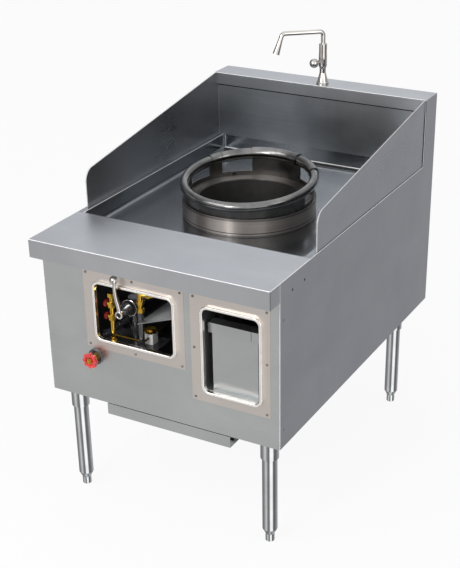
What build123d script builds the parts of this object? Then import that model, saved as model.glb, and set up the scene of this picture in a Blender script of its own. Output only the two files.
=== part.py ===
from build123d import *
from math import cos, sin, tan, radians
import os

os.makedirs("parts", exist_ok=True)

# A free-standing wok range. Millimetres, +Z up, front towards -Y.
# Origin: on the floor, under the middle of the cabinet's plan.

# Driving dimensions of the cabinet
width = 711.0
depth = 1071.0
worktop_z = 794.0
cabinet_z = 325.0
ledge_rise = 204.0
ledge_depth = 86.6
lip_height = 36.0
lip_overhang = 11.6
fascia_height = 51.0
setback = 50.8
shelf_depth = 220.0
skin = 1.5
clearance = 0.3
ledge_z = worktop_z + ledge_rise
front_y = -depth / 2
rear_y = depth / 2
side_x = width / 2
panel_y = front_y + setback
ledge_y = rear_y - ledge_depth
inner_x = side_x - skin
shelf_under_z = worktop_z - skin
fascia_z = worktop_z - fascia_height

# Well deck
deck_sheet = 2.0
well_margin = 19.5
well_depth = 51.0
well_cove = 12.0
well_half = side_x - well_margin
well_z = worktop_z - well_depth
well_front_y = front_y + shelf_depth + deck_sheet
well_rear_y = ledge_y + lip_overhang

# Side splashes
splash_thick = 3.0
splash_inset = 3.0
splash_front = 262.0
splash_angle = 8.0
splash_radius = 36.0
splash_y = front_y + splash_front
splash_inner_x = side_x - splash_inset - splash_thick

# Chamber, liner and burner
chamber_back = 552.3
chamber_y = front_y + chamber_back
drum_radius = 190.5
drum_wall = 3.0
drum_rise = 47.5
drum_drop = 103.0
drum_bottom_z = well_z - drum_drop
drum_flange = 15.0
seat_drop = 3.0
throat_radius = 143.0
drum_top_z = well_z + drum_rise
seat_z = drum_top_z - seat_drop
liner_wall = 6.0
liner_flange_radius = 186.0
liner_foot_radius = 82.0
liner_drop = 18.0
burner_drop = 121.0
burner_radius = 66.0
burner_top_z = well_z - burner_drop
liner_foot_z = burner_top_z - liner_drop
burner_height = 24.0
burner_wall = 6.0
neck_radius = 30.0
neck_bore = 18.0
neck_drop = 77.0
neck_foot_z = burner_top_z - neck_drop
jet_radius = 5.0
jet_height = 12.0
jet_bore = 2.0
outer_jet_ring = 50.0
outer_jet_count = 14
inner_jet_ring = 26.0
inner_jet_count = 7
mixer_radius = 24.0
mixer_wall = 3.0
mixer_drop = 50.0
mixer_z = burner_top_z - mixer_drop
mixer_length = 270.0
mixer_socket = 46.0
bell_radius = 32.0
bell_length = 30.0
stand_half = 150.0
stand_depth = 30.0
stand_sheet = 3.0

# Wok ring: skirt, tube and cap arcs. The tube's plane rises towards the rear.
ring_radius = 183.0
ring_tube = 12.7
ring_tilt = 5.2
ring_rise = 44.5
ring_z = worktop_z + ring_rise
skirt_wall = 5.0
cap_slot = 6.0
ring_shift = 1.0
thin_cap = 15.0
middle_cap = 15.8
thick_cap = 17.5
skirt_outer = ring_radius + 1.5
window_sill = 12.0
rear_window_angle = 40.0
side_window_angle = 81.5
rear_window_span = 29.0
side_window_span = 27.0
window_head = 4.0
vent_radius = 7.5
vent_rise = 1.9
vent_angles = [-18.0, 73.0, 148.0, 222.6]

# Front frames and their openings
plate_long = 307.0
plate_short = 229.0
plate_sheet = 1.5
plate_top_drop = 74.5
plate_corner = 1.5
rim_long = 254.0
rim_short = 178.0
rim_width = 9.0
rim_proud = 9.5
rim_corner = 24.0
rim_edge = 3.1
left_frame_inset = 283.5
right_frame_inset = 140.5
left_rim_shift = 3.5
right_rim_shift = 5.5
screw_margin = 9.5
screw_head = 3.6
screw_head_height = 1.6
screw_dome = 1.0
screw_shank = 2.2
screw_length = 10.0
plate_top_z = worktop_z - plate_top_drop
left_frame_z = plate_top_z - plate_short / 2
right_frame_z = plate_top_z - plate_long / 2
left_frame_x = -side_x + left_frame_inset
right_frame_x = side_x - right_frame_inset
left_rim_x = left_frame_x + left_rim_shift
right_rim_x = right_frame_x + right_rim_shift

# Holes and screws in the side panels
plug_holes = [118.2, 184.1]
plug_drop = 43.0
plug_radius = 3.5
side_screw_back = 71.5
side_screw_drops = [106.0, 418.0]
side_screw_levels = [worktop_z - drop for drop in side_screw_drops]

# Gas lever and main valve
lever_offset = 43.5
lever_rise = 5.0
lever_x = left_rim_x - lever_offset
lever_z = left_frame_z + lever_rise
lever_length = 106.0
lever_radius = 4.6
lever_plane_y = front_y + 28.0
boss_radius = 10.0
boss_front_y = front_y + 38.0
boss_length = 13.0
ball_radius = 11.5
valve_radius = 18.0
angle_body_height = 42.0
valve_height = 44.0
valve_hex = 32.0
valve_bottom_z = lever_z - 28.0
hub_radius = 17.5
hub_front_y = front_y + 92.0
valve_outlet_y = front_y + 142.0
spindle_radius = 5.0
spindle_depth = 14.0
spindle_proud = 1.0
arm_bend = 24.0
arm_first_bend = 28.6
arm_second_bend = 55.0
pipe_bend = 20.0
pipe_offset = 94.0
orifice_length = 22.0
orifice_tip = 8.8
orifice_reach = 8.0
orifice_hex = 24.0

# Gas pipes
pipe_radius = 10.7
pipe_bore = 7.9
pipe_gap = 1.5
coupling_radius = 15.5
coupling_length = 30.0
first_joint = 54.0
second_joint = 590.0
inlet_thread_radius = 10.4
inlet_thread_depth = 18.0
feed_inset = 152.5
wheel_drop = 144.0
feed_x = -side_x + feed_inset
wheel_z = left_frame_z - wheel_drop
riser_y = front_y + 118.0
elbow_radius = 22.0
union_drop = 46.0
valve_half = 24.0

# Shut-off valve with its red handwheel
wheel_radius = 22.5
wheel_lobes = 8
lobe_radius = 5.0
wheel_thick = 9.0
dish_radius = 12.5
dish_depth = 3.0
hub_nut_radius = 5.5
wheel_front_y = front_y + 19.5
escutcheon_radius = 22.5
escutcheon_thick = 5.0
escutcheon_chamfer = 1.75
panel_hole = 15.0
bonnet_radius = 12.0
bonnet_front_y = front_y + 33.0
stem_radius = 4.0
bonnet_hex_start = 30.0
bonnet_hex = 28.0
hex_length = 14.0
stem_fit = 0.06
bonnet_bore_depth = 24.0

# Pilot column, its two red knobs and the white safety valve
pilot_offset = 89.5
pilot_x = left_rim_x - pilot_offset
pilot_y = front_y + 76.0
pilot_radius = 7.0
pilot_top_z = lever_z + 40.0
knob_levels = [lever_z + 7.0, lever_z - 30.0]
knob_radius = 10.0
knob_thick = 8.0
knob_boss = 12.0
knob_stem = 3.0
knob_gap = 1.0
knob_lobe = 2.5
knob_bore_depth = 10.0
boss_wall = 2.5
pilot_hex = 18.0
nut_height = 11.0
boss_hex_height = 16.0
bracket_drop = 96.0
bracket_z = left_frame_z - bracket_drop
bracket_depth = 98.0
bracket_flange = 22.0
bracket_left = 115.5
bracket_right = 44.5
safety_offset = 6.5
bracket_left_x = left_rim_x - bracket_left
bracket_right_x = left_rim_x + bracket_right
safety_x = left_rim_x + safety_offset
safety_y = front_y + 112.0
safety_side = 26.0
safety_height = 32.0
safety_fillet = 2.0
safety_hex = 31.3
safety_hex_height = 6.6
safety_cap_radius = 12.6
safety_cap_height = 11.0
small_pipe = 3.2
small_bore = 2.2
small_bend = 12.0
pilot_pipe_rise = 18.0
pilot_burner_rise = 18.0
pilot_pipe_z = bracket_z + pilot_pipe_rise
pilot_burner_z = burner_top_z + pilot_burner_rise
pilot_reach = 40.0
pilot_tip = 20.0
pilot_tip_radius = 4.6
shield_offset = 4.5
shield_low = 21.0
shield_high = 50.0
shield_low_x = left_rim_x + shield_offset
shield_low_z = lever_z - shield_low
shield_high_z = lever_z + shield_high
shield_rear = 216.0
shield_sheet = 1.2

# Bin and its compartment behind the right opening
bay_half = 85.0
bay_floor_drop = 117.0
bay_top_rise = 124.0
bay_floor_z = right_frame_z - bay_floor_drop
bay_top_z = right_frame_z + bay_top_rise
bay_rear = 362.0
bay_sheet = 1.2
bin_half = 66.0
bin_ear = 12.0
bin_height = 188.0
bin_lip = 28.0
bin_front = 66.0
bin_length = 252.0
bin_wall = 1.2
bin_deck = 30.0
slit_offset = 46.5

# Drip tray and runners under the cabinet
tray_center_x = 24.0
tray_half = 185.0
tray_length = 668.0
tray_gap = 2.0
tray_top_z = cabinet_z - tray_gap
tray_drop = 33.0
tray_flange = 12.0
tray_left_cover = 15.0
runner_half = 199.0
runner_height = 15.0
runner_lip_z = cabinet_z - runner_height

# Legs
leg_inset = 53.5
grub_radius = 3.5
grub_drop = 19.0
foot_fit = 0.05
leg_front = 95.7
leg_rear_inset = 128.6
leg_radius = 20.65
leg_wall = 1.5
socket_radius = 24.85
socket_length = 60.0
foot_radius = 12.5
foot_height = 23.0
foot_taper = 17.0
foot_stem = 10.0
foot_stem_length = 42.0
bush_length = 34.0

# Faucet on the ledge
tap_x = 6.0
tap_setback = 56.0
tap_foot_radius = 19.0
tap_waist = 9.5
tap_body_radius = 12.5
tap_body_top = 94.8
tap_foot_height = 4.0
tap_foot_chamfer = 2.0
tap_waist_low = 34.0
tap_waist_high = 47.0
tap_bulb_low = 55.0
tap_bulb_high = 82.0
tap_boss_reach = 16.0
tap_boss_radius = 6.5
tap_bore = 6.3
locknut_across = 30.0
locknut_thick = 7.0
inlet_radius = 9.5
inlet_length = 40.0
tap_nut_height = 28.0
tap_nut_radius = 12.0
spout_radius = 6.8
spout_wall = 1.2
spout_rise = 158.2
spout_climb = 4.0
spout_reach = 150.0
spout_slant = 20.0
spout_drop = 55.0
spout_tip_radius = 10.5
flare_share = 0.3
spout_angle = 43.4
spout_elbow = 12.0
riser_radius = 7.6
riser_collar = 1.0
handle_stem = 3.2
handle_angle = 30.0
handle_level = 66.5
handle_reach = 32.0
handle_ball = 14.0
handle_start = 3.0
shank_radius = 10.3
shank_length = 62.0
tap_y = rear_y - tap_setback


# Bottom-seated alignment for upright cylinders and boxes
upright = (Align.CENTER, Align.CENTER, Align.MIN)


# Helpers
# Y of a point this far behind the fascia's front face
def back(distance):
    return front_y + distance


# Point round the chamber axis, the angle counted from the front towards +X
def ring_point(angle, radius=ring_radius):
    return (radius * sin(radians(angle)), chamber_y - radius * cos(radians(angle)))


def finish(context, name):
    context.part.label = name
    export_step(context.part, f"parts/{name}.step")


# Pipe along straight runs joined by arcs
def pipe(path_points, radii, outer, bore):
    with BuildPart() as run:
        with BuildLine() as route:
            if radii:
                FilletPolyline(*path_points, radius=radii)
            else:
                Polyline(*path_points)
        start = Plane(route.line @ 0, z_dir=route.line % 0)
        with BuildSketch(start):
            Circle(outer)
            if bore:
                Circle(bore, mode=Mode.SUBTRACT)
        sweep(path=route.line)
    return run.part


# Round bar from a point along a direction, hollow if it has a bore
def rod(start, direction, length, radius, bore=0):
    with BuildPart() as bar:
        with BuildSketch(Plane(start, z_dir=direction)):
            Circle(radius)
            if bore:
                Circle(bore, mode=Mode.SUBTRACT)
        extrude(amount=length)
    return bar.part


# Hexagonal bar from a point along a direction, hollow if it has a bore
def hexagon_bar(start, direction, length, across, bore=0):
    with BuildPart() as bar:
        with BuildSketch(Plane(start, z_dir=direction)):
            RegularPolygon(across / 2, 6, major_radius=False)
            if bore:
                Circle(bore, mode=Mode.SUBTRACT)
        extrude(amount=length)
    return bar.part


# Side panels: one sheet each, reaching up beside the ledge at the rear
def side_panel(side):
    with BuildPart() as panel:
        with BuildSketch(Plane.YZ.offset(side * side_x)):
            with BuildLine():
                Polyline(
                    (panel_y, cabinet_z),
                    (rear_y, cabinet_z),
                    (rear_y, ledge_z - skin),
                    (ledge_y + skin, ledge_z - skin),
                    (ledge_y + skin, ledge_z - lip_height),
                    (ledge_y, ledge_z - lip_height),
                    (ledge_y, worktop_z),
                    (back(shelf_depth), worktop_z),
                    (back(shelf_depth), shelf_under_z),
                    (panel_y, shelf_under_z),
                    close=True,
                )
            make_face()
            with Locations(*[(back(d), worktop_z - plug_drop) for d in plug_holes]):
                Circle(plug_radius, mode=Mode.SUBTRACT)
            with Locations(*[(back(side_screw_back), z) for z in side_screw_levels]):
                Circle(screw_head, mode=Mode.SUBTRACT)
        extrude(amount=-side * skin)
    return panel


left_side_panel = side_panel(-1)
finish(left_side_panel, "left_side_panel")
right_side_panel = side_panel(1)
finish(right_side_panel, "right_side_panel")

# Front panel with two framed openings and the shut-off valve hole
opening_long = rim_long - 2 * rim_width
opening_short = rim_short - 2 * rim_width
opening_corner = rim_corner - rim_width
with BuildPart() as front_panel:
    with BuildSketch(Plane.XZ.offset(-panel_y)):
        with Locations((0, (cabinet_z + shelf_under_z) / 2)):
            Rectangle(2 * inner_x - 2 * clearance, shelf_under_z - cabinet_z)
        with Locations((left_rim_x, left_frame_z)):
            RectangleRounded(opening_long, opening_short, opening_corner, mode=Mode.SUBTRACT)
        with Locations((right_rim_x, right_frame_z)):
            RectangleRounded(opening_short, opening_long, opening_corner, mode=Mode.SUBTRACT)
        with Locations((feed_x, wheel_z)):
            Circle(panel_hole, mode=Mode.SUBTRACT)
    extrude(amount=-skin)
finish(front_panel, "front_panel")

# Rear panel with the gas inlet and water inlet holes
inlet_hole = 18.0
water_hole_z = 734.0
with BuildPart() as rear_panel:
    with BuildSketch(Plane.XZ.offset(-rear_y)):
        with Locations((0, (cabinet_z + ledge_z - skin) / 2)):
            Rectangle(2 * inner_x - 2 * clearance, ledge_z - skin - cabinet_z)
        with Locations((feed_x, wheel_z), (tap_x, water_hole_z)):
            Circle(inlet_hole, mode=Mode.SUBTRACT)
    extrude(amount=skin)
finish(rear_panel, "rear_panel")

# Base pan: cabinet floor with upturned sides and the burner's air opening
pan_x = inner_x - clearance
pan_front_y = panel_y + skin + clearance
pan_rear_y = rear_y - skin - clearance
pan_flange = 25.0
air_radius = 120.0
with BuildPart() as base_pan:
    with BuildSketch(Plane.XY.offset(cabinet_z)):
        with Locations((0, (pan_front_y + pan_rear_y) / 2)):
            Rectangle(2 * pan_x, pan_rear_y - pan_front_y)
    extrude(amount=pan_flange)
    offset(amount=-skin, openings=base_pan.faces().sort_by(Axis.Z)[-1])
    with Locations((0, chamber_y, cabinet_z)):
        Cylinder(air_radius, 3 * skin, mode=Mode.SUBTRACT)
finish(base_pan, "base_pan")

# Top shelf: one sheet folded down into the fascia, with a return to the front panel and two end caps
with BuildPart() as top_shelf:
    with BuildSketch(Plane.YZ.offset(-side_x)):
        with BuildLine():
            Polyline(
                (front_y, fascia_z),
                (front_y, worktop_z),
                (back(shelf_depth), worktop_z),
                (back(shelf_depth), shelf_under_z),
                (front_y + skin, shelf_under_z),
                (front_y + skin, fascia_z + skin),
                (panel_y, fascia_z + skin),
                (panel_y, fascia_z),
                close=True,
            )
        make_face()
    extrude(amount=width)
    front_fold = top_shelf.edges().filter_by(Axis.X).group_by(Axis.Y)[0].sort_by(Axis.Z)[-1]
    fillet(front_fold, skin * 0.9)
    for side in (-1, 1):
        with BuildSketch(Plane.YZ.offset(side * side_x)):
            with Locations(((front_y + skin + panel_y) / 2, (fascia_z + skin + shelf_under_z) / 2)):
                Rectangle(setback - skin, fascia_height - 2 * skin)
        extrude(amount=-side * skin)
finish(top_shelf, "top_shelf")

# Well deck: recessed pan with a flange beside it and a hole for the chamber drum
flange_x = inner_x - clearance
with BuildPart() as well_hollow:
    with BuildSketch(Plane.XY.offset(well_z)):
        with Locations((0, (well_front_y + well_rear_y) / 2)):
            Rectangle(2 * well_half, well_rear_y - well_front_y)
    extrude(amount=worktop_z - well_z + 1)
    hollow_edges = well_hollow.edges().filter_by(Axis.Z) + well_hollow.faces().sort_by(Axis.Z)[0].edges()
    fillet(hollow_edges, well_cove)

with BuildPart() as well_deck:
    with BuildSketch(Plane.XY.offset(well_z - deck_sheet)):
        with Locations((0, (well_front_y + well_rear_y) / 2)):
            Rectangle(2 * (well_half + deck_sheet), well_rear_y - well_front_y + 2 * deck_sheet)
    extrude(amount=worktop_z - well_z + deck_sheet)
    outer_edges = well_deck.edges().filter_by(Axis.Z) + well_deck.faces().sort_by(Axis.Z)[0].edges()
    fillet(outer_edges, well_cove + deck_sheet)
    with BuildSketch(Plane.XY.offset(worktop_z - deck_sheet)):
        with Locations((0, (well_front_y + well_rear_y) / 2)):
            Rectangle(2 * flange_x, well_rear_y - well_front_y + 2 * deck_sheet)
    extrude(amount=deck_sheet)
    add(well_hollow.part, mode=Mode.SUBTRACT)
    with Locations((0, chamber_y, well_z)):
        Cylinder(drum_radius + clearance, 4 * deck_sheet, mode=Mode.SUBTRACT)
finish(well_deck, "well_deck")

# Rails that carry the deck's side flanges on the side panels
rail_drop = 30.0
with BuildPart() as deck_rails:
    for side in (-1, 1):
        with BuildSketch(Plane.XZ.offset(-(well_front_y - deck_sheet))):
            with BuildLine():
                Polyline(
                    (side * inner_x, worktop_z - deck_sheet),
                    (side * (well_half + deck_sheet + clearance), worktop_z - deck_sheet),
                    (side * (well_half + deck_sheet + clearance), worktop_z - deck_sheet - skin),
                    (side * (inner_x - skin), worktop_z - deck_sheet - skin),
                    (side * (inner_x - skin), worktop_z - deck_sheet - rail_drop),
                    (side * inner_x, worktop_z - deck_sheet - rail_drop),
                    close=True,
                )
            make_face()
        extrude(amount=-(well_rear_y - well_front_y))
finish(deck_rails, "deck_rails")

# Back splash: the wall behind the well, up to the ledge
with BuildPart() as back_splash:
    with BuildSketch(Plane.XZ.offset(-well_rear_y)):
        with Locations((0, (worktop_z + ledge_z - skin) / 2)):
            Rectangle(2 * (inner_x - clearance), ledge_z - skin - worktop_z)
    extrude(amount=-skin)
finish(back_splash, "back_splash")

# Back ledge: cap sheet folded down into a front lip, with the faucet's hole
with BuildPart() as back_ledge:
    with BuildSketch(Plane.YZ.offset(-side_x)):
        with BuildLine():
            Polyline(
                (ledge_y, ledge_z - lip_height),
                (ledge_y, ledge_z),
                (rear_y, ledge_z),
                (rear_y, ledge_z - skin),
                (ledge_y + skin, ledge_z - skin),
                (ledge_y + skin, ledge_z - lip_height),
                close=True,
            )
        make_face()
    extrude(amount=width)
    lip_fold = back_ledge.edges().filter_by(Axis.X).group_by(Axis.Y)[0].sort_by(Axis.Z)[-1]
    fillet(lip_fold, skin * 0.9)
    with Locations((tap_x, tap_y, ledge_z)):
        Cylinder(shank_radius + clearance, 4 * skin, mode=Mode.SUBTRACT)
finish(back_ledge, "back_ledge")


# Side splash: hemmed sheet on the deck's flange, sloping down to a round front corner, its tail under the lip
def splash(side):
    front_top_z = ledge_z - (ledge_y - splash_y) * tan(radians(splash_angle))
    tail_top_z = ledge_z - lip_height - clearance
    with BuildPart() as sheet:
        with BuildSketch(Plane.YZ.offset(side * splash_inner_x)):
            with BuildLine():
                Polyline(
                    (splash_y, worktop_z),
                    (splash_y, front_top_z),
                    (ledge_y, ledge_z),
                    (ledge_y, tail_top_z),
                    (well_rear_y, tail_top_z),
                    (well_rear_y, worktop_z),
                    close=True,
                )
            make_face()
        extrude(amount=side * splash_thick)
        front_corner = sheet.edges().filter_by(Axis.X).group_by(Axis.Y)[0].sort_by(Axis.Z)[-1]
        fillet(front_corner, splash_radius)
    return sheet


left_splash = splash(-1)
finish(left_splash, "left_splash")
right_splash = splash(1)
finish(right_splash, "right_splash")

# Chamber drum: stands through the deck, with a weld flange under it and the round seat inside
with BuildPart() as chamber_drum:
    with BuildSketch(Plane.XY.offset(drum_bottom_z)):
        with Locations((0, chamber_y)):
            Circle(drum_radius)
            Circle(drum_radius - drum_wall, mode=Mode.SUBTRACT)
    extrude(amount=drum_top_z - drum_bottom_z)
    with BuildSketch(Plane.XY.offset(well_z - deck_sheet - drum_wall)):
        with Locations((0, chamber_y)):
            Circle(drum_radius + drum_flange)
            Circle(drum_radius - drum_wall, mode=Mode.SUBTRACT)
    extrude(amount=drum_wall)
    with BuildSketch(Plane.XY.offset(seat_z - drum_wall)):
        with Locations((0, chamber_y)):
            Circle(drum_radius - drum_wall)
            Circle(throat_radius, mode=Mode.SUBTRACT)
    extrude(amount=drum_wall)
    rim_edges = chamber_drum.faces().filter_by(Axis.Z).sort_by(Axis.Z)[-1].edges()
    fillet(rim_edges, drum_wall * 0.4)
finish(chamber_drum, "chamber_drum")

# Chamber liner: a cone hung under the seat, narrowing to the burner
liner_top_z = seat_z - drum_wall
with BuildPart() as chamber_liner:
    with BuildSketch(Plane.XZ.offset(-chamber_y)):
        with BuildLine():
            Polyline(
                (throat_radius, liner_top_z),
                (liner_flange_radius, liner_top_z),
                (liner_flange_radius, liner_top_z - liner_wall),
                (throat_radius + liner_wall, liner_top_z - liner_wall),
                (liner_foot_radius + liner_wall, liner_foot_z),
                (liner_foot_radius, liner_foot_z),
                close=True,
            )
        make_face()
    revolve(axis=Axis((0, chamber_y, 0), (0, 0, 1)))
finish(chamber_liner, "chamber_liner")

# Wok ring: the tube runs round a circle tilted up at the rear
ring_center = (0, chamber_y + ring_shift, ring_z)
ring_normal = (0, -sin(radians(ring_tilt)), cos(radians(ring_tilt)))
ring_plane = Plane(origin=ring_center, x_dir=(1, 0, 0), z_dir=ring_normal)
skirt_bottom_z = seat_z + clearance


# Part of the ring's tube between two angles, or a cap over it, slotted below for the skirt
def ring_arc(tube_radius, first, last, bore=0):
    front_point = ring_plane.from_local_coords((0, -ring_radius, 0))
    start = Plane(front_point, x_dir=ring_plane.y_dir, z_dir=ring_plane.x_dir)
    with BuildPart() as arc:
        with BuildSketch(start):
            Circle(tube_radius)
            if bore:
                Circle(bore, mode=Mode.SUBTRACT)
                with Locations((ring_radius - skirt_outer + skirt_wall / 2, -tube_radius)):
                    Rectangle(skirt_wall + cap_slot, tube_radius, mode=Mode.SUBTRACT)
        revolve(axis=Axis(ring_plane.origin, ring_plane.z_dir), revolution_arc=last - first)
    return arc.part.rotate(Axis(ring_plane.origin, ring_plane.z_dir), first)


# Slice of a full turn round the chamber axis, for cutting windows
def sector(first, last, radius, bottom, top):
    with BuildPart() as wedge:
        with BuildSketch(Plane.XY.offset(bottom)):
            with BuildLine():
                Polyline(ring_point(last, radius), (0, chamber_y), ring_point(first, radius))
                ThreePointArc(*[ring_point(angle, radius) for angle in (first, (first + last) / 2, last)])
            make_face()
        extrude(amount=top - bottom)
    return wedge.part


with BuildPart() as under_tube:
    with BuildSketch(ring_plane.offset(-ring_tube - window_head)):
        Circle(2 * ring_radius)
    extrude(amount=-2 * ring_radius)

windows = []
sill_z = skirt_bottom_z + window_sill
for middle, span in ((rear_window_angle, rear_window_span), (side_window_angle, side_window_span)):
    for center in (180 - middle, 180 + middle):
        opening = sector(center - span / 2, center + span / 2, 2 * ring_radius, sill_z, ring_z + ring_radius)
        windows.append(opening & under_tube.part)

with BuildPart() as wok_ring_skirt:
    with BuildSketch(Plane.XY.offset(skirt_bottom_z)):
        with Locations((0, chamber_y)):
            Circle(skirt_outer)
            Circle(skirt_outer - skirt_wall, mode=Mode.SUBTRACT)
    extrude(amount=ring_radius)
    split(bisect_by=ring_plane.offset(-ring_tube), keep=Keep.BOTTOM)
    for opening in windows:
        add(opening, mode=Mode.SUBTRACT)
    for angle in vent_angles:
        x, y = ring_point(angle)
        vent_start = (0, chamber_y, skirt_bottom_z + vent_rise)
        add(rod(vent_start, (x, y - chamber_y, 0), 2 * ring_radius, vent_radius), mode=Mode.SUBTRACT)
finish(wok_ring_skirt, "wok_ring_skirt")

with BuildPart() as wok_ring_tube:
    add(ring_arc(ring_tube, 0, 360))
finish(wok_ring_tube, "wok_ring_tube")

# Cap arcs over the rear half of the tube
cap_arcs = [
    (124.0, 154.5, middle_cap),
    (157.0, 205.3, thick_cap),
    (206.0, 235.0, thin_cap),
    (235.6, 246.5, middle_cap),
]
with BuildPart() as wok_ring_caps:
    for first, last, cap_radius in cap_arcs:
        add(ring_arc(cap_radius, first, last, ring_tube))
finish(wok_ring_caps, "wok_ring_caps")

# Burner: hollow head on a neck, with a socket for the mixing tube
head_bottom_z = burner_top_z - burner_height
head_bore = burner_radius - burner_wall
with BuildPart() as burner_head:
    with Locations((0, chamber_y, head_bottom_z)):
        Cylinder(burner_radius, burner_height, align=upright)
    head_rim = burner_head.faces().sort_by(Axis.Z)[-1].edges()
    fillet(head_rim, burner_wall)
    with Locations((0, chamber_y, neck_foot_z)):
        Cylinder(neck_radius, head_bottom_z - neck_foot_z, align=upright)
    add(rod((0, chamber_y, mixer_z), (0, -1, 0), mixer_socket, mixer_radius + mixer_wall))
    with Locations((0, chamber_y, head_bottom_z + burner_wall)):
        Cylinder(head_bore, burner_height - 2 * burner_wall, align=upright, mode=Mode.SUBTRACT)
    with Locations((0, chamber_y, mixer_z)):
        Cylinder(neck_bore, head_bottom_z + burner_wall - mixer_z, align=upright, mode=Mode.SUBTRACT)
    add(rod((0, chamber_y, mixer_z), (0, -1, 0), mixer_socket, mixer_radius - mixer_wall), mode=Mode.SUBTRACT)
    socket_mouth = rod((0, chamber_y - neck_radius, mixer_z), (0, -1, 0), mixer_socket, mixer_radius)
    add(socket_mouth, mode=Mode.SUBTRACT)
finish(burner_head, "burner_head")

# Jets: brass nozzles in two rings on the head
with BuildPart() as burner_jets:
    for ring, count in ((outer_jet_ring, outer_jet_count), (inner_jet_ring, inner_jet_count)):
        with Locations((0, chamber_y, burner_top_z)):
            with PolarLocations(ring, count):
                Cylinder(jet_radius, jet_height, align=upright)
                Cylinder(jet_bore, jet_height, align=upright, mode=Mode.SUBTRACT)
finish(burner_jets, "burner_jets")

# Mixing tube: from the burner's socket to an open bell at the front
mixer_back_y = chamber_y - neck_radius
mixer_front_y = chamber_y - mixer_length
with BuildPart() as mixing_tube:
    with BuildSketch(Plane.YZ):
        with BuildLine():
            Polyline(
                (mixer_back_y, mixer_z + mixer_radius - mixer_wall),
                (mixer_back_y, mixer_z + mixer_radius),
                (mixer_front_y + bell_length, mixer_z + mixer_radius),
                (mixer_front_y, mixer_z + bell_radius),
                (mixer_front_y, mixer_z + bell_radius - mixer_wall),
                (mixer_front_y + bell_length, mixer_z + mixer_radius - mixer_wall),
                close=True,
            )
        make_face()
    revolve(axis=Axis((0, 0, mixer_z), (0, 1, 0)))
finish(mixing_tube, "mixing_tube")

# Burner stand: a strap from the base pan under the burner's neck
with BuildPart() as burner_stand:
    with BuildSketch(Plane.XZ.offset(-(chamber_y + stand_depth / 2))):
        with BuildLine() as strap:
            Polyline(
                (-stand_half - stand_depth, cabinet_z + skin + stand_sheet / 2),
                (-stand_half, cabinet_z + skin + stand_sheet / 2),
                (-stand_half, neck_foot_z - stand_sheet / 2),
                (stand_half, neck_foot_z - stand_sheet / 2),
                (stand_half, cabinet_z + skin + stand_sheet / 2),
                (stand_half + stand_depth, cabinet_z + skin + stand_sheet / 2),
            )
        trace(line_width=stand_sheet)
    extrude(amount=stand_depth)
finish(burner_stand, "burner_stand")

# Gas feed: straight from the rear panel to the shut-off valve, with two joints
feed_front_y = riser_y + valve_half
with BuildPart() as gas_feed_pipe:
    add(rod((feed_x, feed_front_y, wheel_z), (0, 1, 0), rear_y - feed_front_y, pipe_radius, pipe_bore))
    for joint_y in (feed_front_y + first_joint, rear_y - second_joint, rear_y - coupling_length):
        add(rod((feed_x, joint_y, wheel_z), (0, 1, 0), coupling_length, coupling_radius, pipe_bore))
    inlet_thread = rod((feed_x, rear_y, wheel_z), (0, -1, 0), inlet_thread_depth, inlet_thread_radius)
    add(inlet_thread, mode=Mode.SUBTRACT)
finish(gas_feed_pipe, "gas_feed_pipe")

# Shut-off valve: angle body, inlet at the rear, outlet to the side, bonnet through the front panel
with BuildPart() as shutoff_valve:
    with Locations((feed_x, riser_y, wheel_z)):
        Cylinder(valve_radius, angle_body_height)
    add(rod((feed_x, riser_y, wheel_z), (0, 1, 0), valve_half, coupling_radius))
    add(rod((feed_x, riser_y, wheel_z), (1, 0, 0), valve_half, coupling_radius))
    add(rod((feed_x, riser_y, wheel_z), (0, -1, 0), riser_y - bonnet_front_y, bonnet_radius))
    add(hexagon_bar((feed_x, riser_y - bonnet_hex_start, wheel_z), (0, -1, 0), hex_length, bonnet_hex))
    add(rod((feed_x, riser_y, wheel_z), (0, 1, 0), valve_half, pipe_bore), mode=Mode.SUBTRACT)
    add(rod((feed_x, riser_y, wheel_z), (1, 0, 0), valve_half, pipe_bore), mode=Mode.SUBTRACT)
    stem_bore = rod((feed_x, bonnet_front_y, wheel_z), (0, 1, 0), bonnet_bore_depth, stem_radius + stem_fit)
    add(stem_bore, mode=Mode.SUBTRACT)
finish(shutoff_valve, "shutoff_valve")


# Lobed disc for a hand knob, its back on a plane
def lobed(plane, radius, count, lobe, thick):
    valley = radius - lobe * 0.8
    with BuildPart() as disc:
        with BuildSketch(plane):
            Circle(valley)
            with PolarLocations(radius - lobe, count):
                Circle(lobe)
        extrude(amount=thick)
    return disc.part


# Handwheel: lobed wheel on its stem
with BuildPart() as handwheel:
    wheel_plane = Plane((feed_x, wheel_front_y, wheel_z), x_dir=(1, 0, 0), z_dir=(0, 1, 0))
    add(lobed(wheel_plane, wheel_radius, wheel_lobes, lobe_radius, wheel_thick))
    with BuildSketch(wheel_plane):
        Circle(dish_radius)
        Circle(hub_nut_radius, mode=Mode.SUBTRACT)
    extrude(amount=dish_depth, mode=Mode.SUBTRACT)
    stem_length = bonnet_front_y - wheel_front_y - wheel_thick + bonnet_bore_depth - clearance
    add(rod((feed_x, wheel_front_y + wheel_thick, wheel_z), (0, 1, 0), stem_length, stem_radius))
finish(handwheel, "handwheel")

# Black flange between the bonnet and the front panel
with BuildPart() as panel_flange:
    flange_start = (feed_x, panel_y - escutcheon_thick, wheel_z)
    add(rod(flange_start, (0, 1, 0), escutcheon_thick, escutcheon_radius, bonnet_radius))
    flange_face = panel_flange.faces().filter_by(Axis.Y).sort_by(Axis.Y)[0]
    chamfer(flange_face.edges().sort_by(SortBy.RADIUS)[-1], escutcheon_chamfer)
finish(panel_flange, "panel_flange")

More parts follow.
